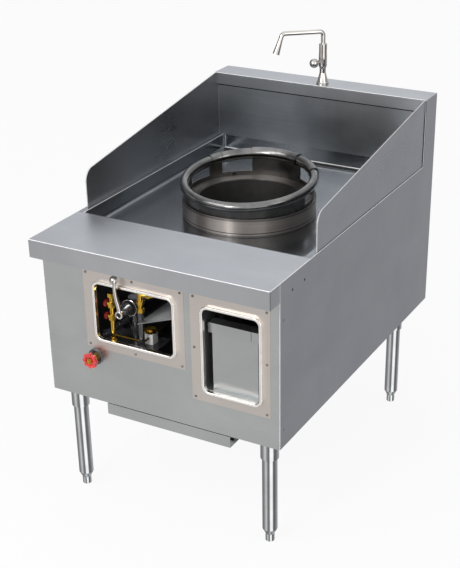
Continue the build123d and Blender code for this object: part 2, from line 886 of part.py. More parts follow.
# Gas riser: from the shut-off valve across and up into the main valve, with a union
with BuildPart() as gas_riser:
    riser_points = [
        (feed_x + valve_half, riser_y, wheel_z),
        (lever_x, riser_y, wheel_z),
        (lever_x, riser_y, valve_bottom_z),
    ]
    add(pipe(riser_points, elbow_radius, pipe_radius, pipe_bore))
    union_foot = (lever_x, riser_y, valve_bottom_z - union_drop)
    add(rod(union_foot, (0, 0, 1), hex_length, coupling_radius, pipe_bore))
finish(gas_riser, "gas_riser")

# Main valve: plug valve with its hub to the front, inlet below and outlet to the rear
with BuildPart() as main_valve:
    with Locations((lever_x, riser_y, lever_z)):
        Cylinder(valve_radius, valve_height)
    add(rod((lever_x, hub_front_y, lever_z), (0, 1, 0), riser_y - hub_front_y, hub_radius))
    add(rod((lever_x, riser_y, lever_z), (0, 1, 0), valve_outlet_y - riser_y, coupling_radius))
    add(hexagon_bar((lever_x, riser_y, valve_bottom_z), (0, 0, 1), hex_length, valve_hex))
    inlet_bore = rod((lever_x, riser_y, valve_bottom_z), (0, 0, 1), lever_z - valve_bottom_z, pipe_bore)
    add(inlet_bore, mode=Mode.SUBTRACT)
    outlet_start = (lever_x, riser_y - pipe_bore, lever_z)
    outlet_bore = rod(outlet_start, (0, 1, 0), valve_outlet_y - riser_y + pipe_bore, pipe_bore)
    add(outlet_bore, mode=Mode.SUBTRACT)
    spindle_bore = rod((lever_x, hub_front_y, lever_z), (0, 1, 0), spindle_depth, spindle_radius + stem_fit)
    add(spindle_bore, mode=Mode.SUBTRACT)
finish(main_valve, "main_valve")

# Spindle turned by the lever
spindle_front_y = boss_front_y - spindle_proud
with BuildPart() as valve_spindle:
    spindle_length = hub_front_y + spindle_depth - clearance - spindle_front_y
    add(rod((lever_x, spindle_front_y, lever_z), (0, 1, 0), spindle_length, spindle_radius))
finish(valve_spindle, "valve_spindle")

# Gas lever: boss round the spindle and a bent arm in front of the frame
ball_z = lever_z + lever_length
arm_root_y = boss_front_y + boss_length / 2
arm_points = [
    (lever_x, arm_root_y, lever_z + boss_radius - lever_radius),
    (lever_x, arm_root_y, lever_z + arm_first_bend),
    (lever_x, lever_plane_y, lever_z + arm_second_bend),
    (lever_x, lever_plane_y, ball_z - ball_radius * 0.8),
]
with BuildPart() as gas_lever:
    add(rod((lever_x, boss_front_y, lever_z), (0, 1, 0), boss_length, boss_radius))
    add(pipe(arm_points, arm_bend, lever_radius, 0))
    add(rod((lever_x, boss_front_y, lever_z), (0, 1, 0), boss_length, spindle_radius), mode=Mode.SUBTRACT)
finish(gas_lever, "gas_lever")

# Ball grip on the lever's end
with BuildPart() as lever_ball:
    with Locations((lever_x, lever_plane_y, ball_z)):
        Sphere(ball_radius)
    add(gas_lever.part, mode=Mode.SUBTRACT)
finish(lever_ball, "lever_ball")

# Burner pipe: from the main valve's rear outlet to the bell of the mixing tube, and its orifice
orifice_y = mixer_front_y + orifice_reach
orifice_hex_length = orifice_length - orifice_tip
burner_pipe_points = [
    (lever_x, valve_outlet_y, lever_z),
    (lever_x, valve_outlet_y + pipe_offset, lever_z),
    (0, valve_outlet_y + pipe_offset, mixer_z),
    (0, orifice_y - orifice_length, mixer_z),
]
with BuildPart() as burner_pipe:
    add(pipe(burner_pipe_points, pipe_bend, pipe_radius, pipe_bore))
    hex_start = (0, orifice_y - orifice_length, mixer_z)
    add(hexagon_bar(hex_start, (0, 1, 0), orifice_hex_length, orifice_hex, small_bore))
    add(rod((0, orifice_y - orifice_tip, mixer_z), (0, 1, 0), orifice_tip, pipe_bore, small_bore))
finish(burner_pipe, "burner_pipe")

# Valve bracket: shelf behind the front panel under the pilot column and the safety valve
with BuildPart() as valve_bracket:
    with BuildSketch(Plane.YZ.offset(bracket_left_x)):
        with BuildLine():
            Polyline(
                (panel_y + skin, bracket_z),
                (panel_y + skin + bracket_depth, bracket_z),
                (panel_y + skin + bracket_depth, bracket_z - skin),
                (panel_y + 2 * skin, bracket_z - skin),
                (panel_y + 2 * skin, bracket_z - bracket_flange),
                (panel_y + skin, bracket_z - bracket_flange),
                close=True,
            )
        make_face()
    extrude(amount=bracket_right_x - bracket_left_x)
    with Locations((lever_x, riser_y, bracket_z)):
        Cylinder(pipe_radius + pipe_gap, 4 * skin, mode=Mode.SUBTRACT)
finish(valve_bracket, "valve_bracket")

# Pilot column: brass manifold with two knob bosses
with BuildPart() as pilot_column:
    add(rod((pilot_x, pilot_y, bracket_z), (0, 0, 1), pilot_top_z - bracket_z, pilot_radius))
    add(hexagon_bar((pilot_x, pilot_y, bracket_z), (0, 0, 1), nut_height, pilot_hex))
    add(hexagon_bar((pilot_x, pilot_y, pilot_top_z - nut_height), (0, 0, 1), nut_height, pilot_hex))
    for z in knob_levels:
        add(hexagon_bar((pilot_x, pilot_y, z - boss_hex_height / 2), (0, 0, 1), boss_hex_height, pilot_hex))
        add(rod((pilot_x, pilot_y, z), (-1, 0, 0), knob_boss, knob_stem + boss_wall))
    for z in knob_levels:
        boss_bore = rod((pilot_x - knob_boss, pilot_y, z), (1, 0, 0), knob_bore_depth, knob_stem + stem_fit)
        add(boss_bore, mode=Mode.SUBTRACT)
finish(pilot_column, "pilot_column")

# Pilot knobs: small red lobed knobs on their stems
for name, z in (("upper_pilot_knob", knob_levels[0]), ("lower_pilot_knob", knob_levels[1])):
    with BuildPart() as pilot_knob:
        knob_back_x = pilot_x - knob_boss - knob_gap
        knob_plane = Plane((knob_back_x, pilot_y, z), x_dir=(0, 1, 0), z_dir=(-1, 0, 0))
        add(lobed(knob_plane, knob_radius, wheel_lobes, knob_lobe, knob_thick))
        add(rod((knob_back_x, pilot_y, z), (1, 0, 0), knob_bore_depth, knob_stem))
    finish(pilot_knob, name)

# Safety valve: white block with a brass cap
with BuildPart() as safety_valve:
    with Locations((safety_x, safety_y, bracket_z)):
        Box(safety_side, safety_side, safety_height, align=upright)
    fillet(safety_valve.edges().filter_by(Axis.Z), safety_fillet)
finish(safety_valve, "safety_valve")

with BuildPart() as safety_cap:
    cap_z = bracket_z + safety_height
    add(hexagon_bar((safety_x, safety_y, cap_z), (0, 0, 1), safety_hex_height, safety_hex))
    add(rod((safety_x, safety_y, cap_z), (0, 0, 1), safety_cap_height, safety_cap_radius))
finish(safety_cap, "safety_cap")

# Pilot tubes: column to safety valve, and on to the pilot burner beside the head
pilot_end_y = chamber_y - pilot_reach
with BuildPart() as pilot_tubes:
    feed_points = [
        (pilot_x + pilot_radius, pilot_y, pilot_pipe_z),
        (safety_x, pilot_y, pilot_pipe_z),
        (safety_x, safety_y - safety_side / 2, pilot_pipe_z),
    ]
    add(pipe(feed_points, small_bend, small_pipe, 0))
    burner_points = [
        (safety_x, safety_y + safety_side / 2, pilot_pipe_z),
        (safety_x, pilot_end_y, pilot_pipe_z),
        (safety_x, pilot_end_y, pilot_burner_z - pilot_tip),
    ]
    add(pipe(burner_points, small_bend, small_pipe, 0))
    add(rod((safety_x, pilot_end_y, pilot_burner_z - pilot_tip), (0, 0, 1), pilot_tip, pilot_tip_radius))
finish(pilot_tubes, "pilot_tubes")

# Heat shield: sloping sheet between the valves and the bin compartment
bay_left_x = right_rim_x - bay_half - bay_sheet
with BuildPart() as heat_shield:
    with BuildSketch(Plane.XZ.offset(-(panel_y + skin))):
        with BuildLine():
            Polyline(
                (shield_low_x, shield_low_z),
                (bay_left_x, shield_high_z),
                (bay_left_x, shield_high_z + shield_sheet),
                (shield_low_x, shield_low_z + shield_sheet),
                close=True,
            )
        make_face()
    extrude(amount=-(back(shield_rear) - panel_y - skin))
finish(heat_shield, "heat_shield")

# Frame plate with its opening
def frame_plate(x, rim_x, z, wide, high, hole_wide, hole_high):
    with BuildPart() as plate:
        with BuildSketch(Plane.XZ.offset(-(panel_y - plate_sheet))):
            with Locations((x, z)):
                RectangleRounded(wide, high, plate_corner)
            with Locations((rim_x, z)):
                RectangleRounded(hole_wide, hole_high, opening_corner, mode=Mode.SUBTRACT)
        extrude(amount=-plate_sheet)
    return plate


# Raised rim round an opening: a bead with a soft front edge
def rim(x, z, hole_wide, hole_high):
    with BuildPart() as bead:
        with BuildSketch(Plane.XZ.offset(-(panel_y - plate_sheet - rim_proud))):
            with Locations((x, z)):
                RectangleRounded(hole_wide + 2 * rim_width, hole_high + 2 * rim_width, rim_corner)
                RectangleRounded(hole_wide, hole_high, opening_corner, mode=Mode.SUBTRACT)
        extrude(amount=-rim_proud)
        fillet(bead.faces().filter_by(Axis.Y).sort_by(Axis.Y)[0].edges(), rim_edge)
    return bead


left_hole = (opening_long, opening_short)
right_hole = (opening_short, opening_long)
left_outline = (plate_long, plate_short)
right_outline = (plate_short, plate_long)
left_frame_plate = frame_plate(left_frame_x, left_rim_x, left_frame_z, *left_outline, *left_hole)
finish(left_frame_plate, "left_frame_plate")
right_frame_plate = frame_plate(right_frame_x, right_rim_x, right_frame_z, *right_outline, *right_hole)
finish(right_frame_plate, "right_frame_plate")
left_bezel = rim(left_rim_x, left_frame_z, *left_hole)
finish(left_bezel, "left_bezel")
right_bezel = rim(right_rim_x, right_frame_z, *right_hole)
finish(right_bezel, "right_bezel")

# Screws round both frame plates: domed heads on the plates
screw_spots = []
for column in (-1, 0, 1):
    for row in (-1, 1):
        along = plate_long / 2 - screw_margin
        across = plate_short / 2 - screw_margin
        screw_spots.append((left_frame_x + column * along, left_frame_z + row * across))
        screw_spots.append((right_frame_x + row * across, right_frame_z + column * along))
with BuildPart() as frame_screws:
    for x, z in screw_spots:
        add(rod((x, panel_y - plate_sheet, z), (0, -1, 0), screw_head_height, screw_head))
    fillet(frame_screws.faces().filter_by(Axis.Y).group_by(Axis.Y)[0].edges(), screw_dome)
finish(frame_screws, "frame_screws")

# Side screws: flush heads in the side panels with shanks inside
with BuildPart() as side_screws:
    for side in (-1, 1):
        for z in side_screw_levels:
            add(rod((side * side_x, back(side_screw_back), z), (-side, 0, 0), skin, screw_head))
            add(rod((side * inner_x, back(side_screw_back), z), (-side, 0, 0), screw_length, screw_shank))
finish(side_screws, "side_screws")

# Bin compartment: open box behind the right opening
with BuildPart() as bin_compartment:
    with BuildSketch(Plane.XZ.offset(-(panel_y + skin))):
        with Locations((right_rim_x, (bay_floor_z + bay_top_z) / 2)):
            Rectangle(2 * (bay_half + bay_sheet), bay_top_z - bay_floor_z + 2 * bay_sheet)
    extrude(amount=-(back(bay_rear) - panel_y - skin))
    bay_mouth = bin_compartment.faces().sort_by(Axis.Y)[0]
    offset(amount=-bay_sheet, openings=bay_mouth)
finish(bin_compartment, "bin_compartment")

# Catch bin: box with a wide top lip, its deck open behind
bin_bottom_z = bay_floor_z + clearance
bin_top_z = bin_bottom_z + bin_height
slit_x = right_rim_x + slit_offset
with BuildPart() as catch_bin:
    with BuildSketch(Plane.XY.offset(bin_bottom_z)):
        with Locations((right_rim_x, back(bin_front + bin_length / 2))):
            Rectangle(2 * bin_half, bin_length)
    extrude(amount=bin_height)
    offset(amount=-bin_wall, openings=catch_bin.faces().sort_by(Axis.Z)[-1])
    with BuildSketch(Plane.YZ.offset(right_rim_x - bin_half - bin_ear)):
        with BuildLine():
            Polyline(
                (back(bin_front), bin_top_z - bin_lip),
                (back(bin_front), bin_top_z),
                (back(bin_front + bin_deck), bin_top_z),
                (back(bin_front + bin_deck), bin_top_z - bin_wall),
                (back(bin_front) + bin_wall, bin_top_z - bin_wall),
                (back(bin_front) + bin_wall, bin_top_z - bin_lip),
                close=True,
            )
        make_face()
    extrude(amount=2 * (bin_half + bin_ear))
    with BuildSketch(Plane.XZ.offset(-back(bin_front))):
        with Locations((slit_x, bin_top_z - bin_lip / 2)):
            Rectangle(bin_wall, bin_lip)
    extrude(amount=-bin_wall, mode=Mode.SUBTRACT)
finish(catch_bin, "catch_bin")

# Drip tray: box with side lips that ride in the runners, its face covering the left runner
tray_left_x = tray_center_x - tray_half
tray_right_x = tray_center_x + tray_half
tray_bottom_z = tray_top_z - tray_drop
lip_low_z = runner_lip_z + skin + clearance
tray_face_x = tray_left_x - tray_left_cover
with BuildPart() as drip_tray:
    with BuildSketch(Plane.XY.offset(tray_bottom_z)):
        with Locations((tray_center_x, panel_y + tray_length / 2)):
            Rectangle(2 * tray_half, tray_length)
    extrude(amount=tray_drop)
    offset(amount=-bin_wall, openings=drip_tray.faces().sort_by(Axis.Z)[-1])
    with BuildSketch(Plane.XZ.offset(-panel_y)):
        with Locations(((tray_face_x + tray_right_x) / 2, (tray_bottom_z + tray_top_z) / 2)):
            Rectangle(tray_right_x - tray_face_x, tray_drop)
    extrude(amount=-bin_wall)
    for side in (-1, 1):
        lip_center = tray_center_x + side * (tray_half + tray_flange / 2)
        with BuildSketch(Plane.XY.offset(lip_low_z)):
            with Locations((lip_center, panel_y + bin_wall + (tray_length - bin_wall) / 2)):
                Rectangle(tray_flange, tray_length - bin_wall)
        extrude(amount=bin_wall)
finish(drip_tray, "drip_tray")

# Tray runners: channels under the base pan, the left one starting behind the tray's face
with BuildPart() as tray_runners:
    for side, start_y in ((-1, panel_y + bin_wall + clearance), (1, panel_y)):
        web = tray_center_x + side * runner_half
        inner_edge = web - side * (runner_half - tray_half - clearance)
        with BuildSketch(Plane.XZ.offset(-start_y)):
            with BuildLine():
                Polyline(
                    (web, cabinet_z),
                    (inner_edge, cabinet_z),
                    (inner_edge, cabinet_z - skin),
                    (web - side * skin, cabinet_z - skin),
                    (web - side * skin, runner_lip_z + skin),
                    (inner_edge, runner_lip_z + skin),
                    (inner_edge, runner_lip_z),
                    (web, runner_lip_z),
                    close=True,
                )
            make_face()
        extrude(amount=-(panel_y + tray_length - start_y))
finish(tray_runners, "tray_runners")

# Legs: sockets, tubes with a bush at the foot, bullet feet and grub screws
leg_x = side_x - leg_inset
leg_spots = [(side * leg_x, y) for y in (back(leg_front), rear_y - leg_rear_inset) for side in (-1, 1)]
socket_bottom_z = cabinet_z - socket_length
tube_bottom_z = foot_height + foot_taper
grub_z = cabinet_z - grub_drop
with BuildPart() as leg_sockets:
    for x, y in leg_spots:
        side = 1 if x > 0 else -1
        add(rod((x, y, socket_bottom_z), (0, 0, 1), socket_length, socket_radius, leg_radius))
        add(rod((x, y, grub_z), (side, 0, 0), 2 * socket_radius, grub_radius), mode=Mode.SUBTRACT)
        with BuildSketch(Plane((x + side * leg_radius, y, grub_z), z_dir=(side, 0, 0))):
            Circle(grub_radius)
            RegularPolygon(grub_radius * 0.45, 6, mode=Mode.SUBTRACT)
        extrude(amount=socket_radius - leg_radius)
finish(leg_sockets, "leg_sockets")

with BuildPart() as leg_tubes:
    for x, y in leg_spots:
        tube_foot = (x, y, tube_bottom_z)
        add(rod(tube_foot, (0, 0, 1), cabinet_z - tube_bottom_z, leg_radius, leg_radius - leg_wall))
        add(rod(tube_foot, (0, 0, 1), bush_length, leg_radius, foot_stem + foot_fit))
finish(leg_tubes, "leg_tubes")

foot_names = ["front_left_foot", "front_right_foot", "rear_left_foot", "rear_right_foot"]
for name, (x, y) in zip(foot_names, leg_spots):
    with BuildPart() as foot:
        with BuildSketch(Plane.XZ.offset(-y)):
            with BuildLine():
                Polyline(
                    (x, 0),
                    (x + foot_radius - 1, 0),
                    (x + foot_radius, 1),
                    (x + foot_radius, foot_height),
                    (x + leg_radius, tube_bottom_z - clearance),
                    (x + foot_stem, tube_bottom_z - clearance),
                    (x + foot_stem, tube_bottom_z + foot_stem_length),
                    (x, tube_bottom_z + foot_stem_length),
                    close=True,
                )
            make_face()
        revolve(axis=Axis((x, y, 0), (0, 0, 1)))
    finish(foot, name)

# Faucet body: foot, waist and bulb above the ledge, threaded shank and hose spigot below
shank_bottom_z = ledge_z - shank_length
handle_z = ledge_z + handle_level
handle_dir = (-sin(radians(handle_angle)), -cos(radians(handle_angle)), 0)
with BuildPart() as faucet_body:
    with BuildSketch(Plane.XZ.offset(-tap_y)):
        with BuildLine():
            Polyline(
                (tap_x, shank_bottom_z),
                (tap_x + inlet_radius, shank_bottom_z),
                (tap_x + inlet_radius, shank_bottom_z + inlet_length),
                (tap_x + shank_radius, shank_bottom_z + inlet_length),
                (tap_x + shank_radius, ledge_z),
                (tap_x + tap_foot_radius, ledge_z),
                (tap_x + tap_foot_radius, ledge_z + tap_foot_height),
                (tap_x + tap_foot_radius - tap_foot_chamfer, ledge_z + tap_foot_height + tap_foot_chamfer),
                (tap_x + tap_waist, ledge_z + tap_waist_low),
                (tap_x + tap_waist, ledge_z + tap_waist_high),
                (tap_x + tap_body_radius, ledge_z + tap_bulb_low),
                (tap_x + tap_body_radius, ledge_z + tap_bulb_high),
                (tap_x + tap_nut_radius, ledge_z + tap_body_top),
                (tap_x, ledge_z + tap_body_top),
                close=True,
            )
        make_face()
    revolve(axis=Axis((tap_x, tap_y, 0), (0, 0, 1)))
    add(rod((tap_x, tap_y, handle_z), handle_dir, tap_boss_reach, tap_boss_radius))
    boss_bore = rod((tap_x, tap_y, handle_z), handle_dir, tap_boss_reach, handle_stem + stem_fit)
    add(boss_bore, mode=Mode.SUBTRACT)
    bore_length = shank_length + handle_level - 2 * tap_boss_radius
    add(rod((tap_x, tap_y, shank_bottom_z), (0, 0, 1), bore_length, tap_bore), mode=Mode.SUBTRACT)
finish(faucet_body, "faucet_body")

# Lock nut under the ledge
with BuildPart() as faucet_locknut:
    nut_start = (tap_x, tap_y, ledge_z - skin)
    add(hexagon_bar(nut_start, (0, 0, -1), locknut_thick, locknut_across, shank_radius))
finish(faucet_locknut, "faucet_locknut")

# Packing nut that holds the spout
nut_z = ledge_z + tap_body_top
nut_top_z = nut_z + tap_nut_height
with BuildPart() as faucet_nut:
    add(rod((tap_x, tap_y, nut_z), (0, 0, 1), tap_nut_height, tap_nut_radius, riser_radius + stem_fit))
    nut_edges = faucet_nut.edges().filter_by(GeomType.CIRCLE).group_by(Axis.Z)[-1].sort_by(SortBy.RADIUS)[-1]
    chamfer(nut_edges, skin)
finish(faucet_nut, "faucet_nut")

# Spout: riser, long arm and a downturned end that widens
spout_x, spout_y = -sin(radians(spout_angle)), -cos(radians(spout_angle))
spout_top_z = ledge_z + spout_rise
elbow_reach = spout_reach - spout_slant
bend_point = Vector(tap_x + spout_x * elbow_reach, tap_y + spout_y * elbow_reach, spout_top_z + spout_climb)
tip_point = Vector(tap_x + spout_x * spout_reach, tap_y + spout_y * spout_reach, spout_top_z - spout_drop)
flare_point = bend_point + (tip_point - bend_point) * flare_share
with BuildPart() as faucet_spout:
    riser_foot = (tap_x, tap_y, nut_top_z + riser_collar)
    spout_points = [riser_foot, (tap_x, tap_y, spout_top_z), bend_point, flare_point]
    add(pipe(spout_points, spout_elbow, spout_radius, spout_radius - spout_wall))
    riser_start = (tap_x, tap_y, nut_z + clearance)
    riser_length = tap_nut_height + riser_collar - clearance
    add(rod(riser_start, (0, 0, 1), riser_length, riser_radius, spout_radius - spout_wall))
    flare_axis = tip_point - flare_point
    for wall, mode in ((0, Mode.ADD), (spout_wall, Mode.SUBTRACT)):
        with BuildSketch(Plane(flare_point, z_dir=flare_axis)) as flare_start:
            Circle(spout_radius - wall)
        with BuildSketch(Plane(tip_point, z_dir=flare_axis)) as flare_end:
            Circle(spout_tip_radius - wall)
        loft(sections=[flare_start.sketch, flare_end.sketch], mode=mode)
finish(faucet_spout, "faucet_spout")

# Faucet handle: ball knob on its stem
with BuildPart() as faucet_handle:
    handle_axis = Vector(*handle_dir)
    handle_root = Vector(tap_x, tap_y, handle_z)
    with Locations(handle_root + handle_axis * handle_reach):
        Sphere(handle_ball)
    add(rod(handle_root + handle_axis * handle_start, handle_dir, handle_reach - handle_start, handle_stem))
finish(faucet_handle, "faucet_handle")
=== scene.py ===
import bpy, bmesh
import math
from mathutils import Matrix, Vector


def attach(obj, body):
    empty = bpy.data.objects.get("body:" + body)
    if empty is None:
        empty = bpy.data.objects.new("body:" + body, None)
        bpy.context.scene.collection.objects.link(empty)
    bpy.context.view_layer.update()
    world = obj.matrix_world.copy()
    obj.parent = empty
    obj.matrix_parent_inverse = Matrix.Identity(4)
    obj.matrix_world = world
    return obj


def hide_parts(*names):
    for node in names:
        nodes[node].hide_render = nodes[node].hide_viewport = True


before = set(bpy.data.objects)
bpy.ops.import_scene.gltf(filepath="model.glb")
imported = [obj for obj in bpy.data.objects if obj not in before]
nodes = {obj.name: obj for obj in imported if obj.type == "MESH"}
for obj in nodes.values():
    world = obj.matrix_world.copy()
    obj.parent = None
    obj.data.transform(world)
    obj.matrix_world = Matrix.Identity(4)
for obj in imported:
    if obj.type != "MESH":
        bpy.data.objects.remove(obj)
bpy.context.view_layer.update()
scene = bpy.context.scene

# Places in metres of the cabinet's folds, cut edges and joins, where painted highlights and painted shade lines
# are drawn
frontY = -0.5355           # front face of the fascia
panelY = frontY + 0.0508   # front panel, set back under the shelf
shelfY = frontY + 0.22     # rear edge of the shelf
sideX = 0.3555             # outer faces of the side panels
splashX = 0.3495           # inner faces of the splashes
topZ = 0.794               # worktop
fasciaFootZ = 0.743        # lower edge of the fascia
wellZ = 0.743              # floor of the well
wellHalf = 0.336           # half width of the well
wellRearY = 0.4605         # rear wall of the well
lipZ = 0.962               # foot of the ledge's front lip
ledgeY = 0.4489            # front edge of the back ledge
ledgeZ = 0.998             # top of the back ledge
farOff = 2                 # past any part of the object


# sRGB hex as the linear colour that a shader takes
def toLinear(hexColor):
    values = [int(hexColor[i:i + 2], 16) / 255 for i in (1, 3, 5)]
    return tuple(v / 12.92 if v <= 0.04045 else ((v + 0.055) / 1.055) ** 2.4 for v in values) + (1.0,)


# One node with its settings, the links into it and, for a colour ramp, its stops
def addNode(owner, kind, settings=None, links=None, stops=None):
    tree = owner.node_tree
    node = tree.nodes.new(kind)
    for key, value in (settings or {}).items():
        if isinstance(key, int) or key in node.inputs:
            node.inputs[key].default_value = value
        else:
            setattr(node, key, value)
    for key, socket in (links or {}).items():
        tree.links.new(socket, node.inputs[key])
    if stops:
        elements = node.color_ramp.elements
        while len(elements) < len(stops):
            elements.new(0.5)
        for element, (place, hexColor) in zip(elements, stops):
            element.position = place
            element.color = toLinear(hexColor)
    return node


def newMaterial(name):
    material = bpy.data.materials.new(name)
    material.use_nodes = True
    material.node_tree.nodes.clear()
    return material


def finishMaterial(material, shader):
    addNode(material, "ShaderNodeOutputMaterial", {}, {"Surface": shader.outputs[0]})
    return material


# Object coordinates for a pattern, scaled to its repeats per metre along each axis
def patternCoords(material, repeats):
    coords = addNode(material, "ShaderNodeTexCoord")
    return addNode(material, "ShaderNodeMapping", {"Scale": repeats}, {"Vector": coords.outputs["Object"]})


# One near a line, which is two axes with their places and a half width, and zero elsewhere. If a third axis
# follows with a low and a high end, the line stops there
def lineMask(material, axes, line):
    first, firstAt, second, secondAt, halfWidth = line[:5]
    spans = []
    for axis, place in ((first, firstAt), (second, secondAt)):
        away = addNode(material, "ShaderNodeMath", {"operation": "SUBTRACT", 1: place}, {0: axes.outputs[axis]})
        spans.append(addNode(material, "ShaderNodeMath", {"operation": "ABSOLUTE"}, {0: away.outputs[0]}))
    farther = addNode(material, "ShaderNodeMath", {"operation": "MAXIMUM"},
                      {0: spans[0].outputs[0], 1: spans[1].outputs[0]})
    mask = addNode(material, "ShaderNodeMath", {"operation": "LESS_THAN", 1: halfWidth},
                   {0: farther.outputs[0]})
    if len(line) > 5:
        along, low, high = line[5:]
        for operation, limit in (("GREATER_THAN", low), ("LESS_THAN", high)):
            side = addNode(material, "ShaderNodeMath", {"operation": operation, 1: limit},
                           {0: axes.outputs[along]})
            mask = addNode(material, "ShaderNodeMath", {"operation": "MULTIPLY"},
                           {0: mask.outputs[0], 1: side.outputs[0]})
    return mask


# The masks of several lines as one
def linesMask(material, lines):
    coords = addNode(material, "ShaderNodeTexCoord")
    axes = addNode(material, "ShaderNodeSeparateXYZ", {}, {0: coords.outputs["Object"]})
    masks = [lineMask(material, axes, line) for line in lines]
    total = masks[0]
    for mask in masks[1:]:
        total = addNode(material, "ShaderNodeMath", {"operation": "MAXIMUM"},
                        {0: total.outputs[0], 1: mask.outputs[0]})
    return total


# Patterns of the brushed sheet, in repeats per metre
sheetPattern = {
    "streakAcross": 900,        # 1.1 mm apart: real streaks are about 0.1 mm, drawn coarser so that they show
    "streakAlong": 4,           # strokes of the belt, 250 mm long
    "passAcross": 9,            # passes of the belt, 110 mm wide
    "passAlong": 1.2,           # a pass runs most of the sheet's length
    "cloud": (5, 5, 5),         # 200 mm clouds left by rolling and handling
    "relief": 0.0002,           # depth of the streaks in metres
    "roughSpread": (0.06, 0.08),
    "brightTone": (0.86, 1.0),  # painted highlight: pale matt lines along cut edges and folds
    "seamShadeTone": (0.006, 0.03),  # painted shadow along joins and corners
}


# Stainless sheet: brushed streaks along one axis with faint clouds, painted highlights along cut edges and
# folds, painted shade lines along joins and corners
def brushedSteel(name, settings):
    material = newMaterial(name)
    grain = settings["grain"]
    fine = patternCoords(material, tuple(sheetPattern["streakAlong" if axis == grain else "streakAcross"]
                                         for axis in "xyz"))
    streaks = addNode(material, "ShaderNodeTexNoise", {"Scale": 1.0, "Detail": 4.0, "Roughness": 0.65},
                      {"Vector": fine.outputs[0]})
    broad = patternCoords(material, tuple(sheetPattern["passAlong" if axis == grain else "passAcross"]
                                          for axis in "xyz"))
    passes = addNode(material, "ShaderNodeTexNoise", {"Scale": 1.0, "Detail": 3.0, "Roughness": 0.5},
                     {"Vector": broad.outputs[0]})
    cloudCoords = patternCoords(material, sheetPattern["cloud"])
    clouds = addNode(material, "ShaderNodeTexNoise",
                     {"Scale": 1.0, "Detail": 5.0, "Roughness": 0.55, "Distortion": 0.4},
                     {"Vector": cloudCoords.outputs[0]})
    brushed = addNode(material, "ShaderNodeMath", {"operation": "MULTIPLY"},
                      {0: streaks.outputs["Fac"], 1: passes.outputs["Fac"]})
    mixed = addNode(material, "ShaderNodeMath", {"operation": "ADD"},
                    {0: brushed.outputs[0], 1: clouds.outputs["Fac"]})
    color = addNode(material, "ShaderNodeValToRGB", {}, {"Fac": mixed.outputs[0]},
                    [(0.35, settings["dark"]), (1.0, settings["light"])])
    smoother, rougher = sheetPattern["roughSpread"]
    rough = addNode(material, "ShaderNodeMapRange",
                    {"To Min": settings["rough"] - smoother, "To Max": settings["rough"] + rougher},
                    {"Value": mixed.outputs[0]})
    bump = addNode(material, "ShaderNodeBump",
                   {"Strength": settings.get("bump", 0.12), "Distance": sheetPattern["relief"]},
                   {"Height": streaks.outputs["Fac"]})
    shader = addNode(material, "ShaderNodeBsdfPrincipled", {"Metallic": 1.0, "Anisotropic": 0.3},
                     {"Base Color": color.outputs[0], "Roughness": rough.outputs[0], "Normal": bump.outputs[0]})
    # Painted highlights: pale matt lines drawn along the listed folds and cut edges
    if "bright" in settings:
        mask = linesMask(material, settings["bright"])
        if settings.get("cutEdges"):   # what doesn't look sideways on an upright sheet is its cut edge
            geometry = addNode(material, "ShaderNodeNewGeometry")
            facing = addNode(material, "ShaderNodeSeparateXYZ", {}, {0: geometry.outputs["True Normal"]})
            sideways = addNode(material, "ShaderNodeMath", {"operation": "ABSOLUTE"}, {0: facing.outputs["X"]})
            onEdge = addNode(material, "ShaderNodeMath", {"operation": "LESS_THAN", 1: 0.5},
                             {0: sideways.outputs[0]})
            mask = addNode(material, "ShaderNodeMath", {"operation": "MAXIMUM"},
                           {0: mask.outputs[0], 1: onEdge.outputs[0]})
        low, high = settings.get("edgeTone", sheetPattern["brightTone"])
        highlightToneMap = addNode(material, "ShaderNodeMapRange", {"To Min": low, "To Max": high},
                             {"Value": streaks.outputs["Fac"]})
        paintedHighlight = addNode(material, "ShaderNodeBsdfPrincipled", {"Metallic": 0.25, "Roughness": 0.5},
                         {"Base Color": highlightToneMap.outputs[0]})
        shader = addNode(material, "ShaderNodeMixShader", {},
                         {0: mask.outputs[0], 1: shader.outputs[0], 2: paintedHighlight.outputs[0]})
    # Painted shade: dark lines drawn along the listed joins and corners
    if "seamShades" in settings:
        mask = linesMask(material, settings["seamShades"])
        low, high = sheetPattern["seamShadeTone"]
        seamShadeTone = addNode(material, "ShaderNodeMapRange", {"To Min": low, "To Max": high},
                           {"Value": streaks.outputs["Fac"]})
        seamShade = addNode(material, "ShaderNodeBsdfPrincipled", {"Metallic": 0.2, "Roughness": 0.7},
                       {"Base Color": seamShadeTone.outputs[0]})
        shader = addNode(material, "ShaderNodeMixShader", {},
                         {0: mask.outputs[0], 1: shader.outputs[0], 2: seamShade.outputs[0]})
    return finishMaterial(material, shader)


# Patterns of polished and plated metal, in repeats per metre
polishPattern = {
    "wipe": (14, 14, 14),       # 70 mm wipe marks
    "dimple": (260, 260, 260),  # 4 mm unevenness: on the real metal under 1 mm, drawn coarser so that it shows
    "relief": 0.0003,
}


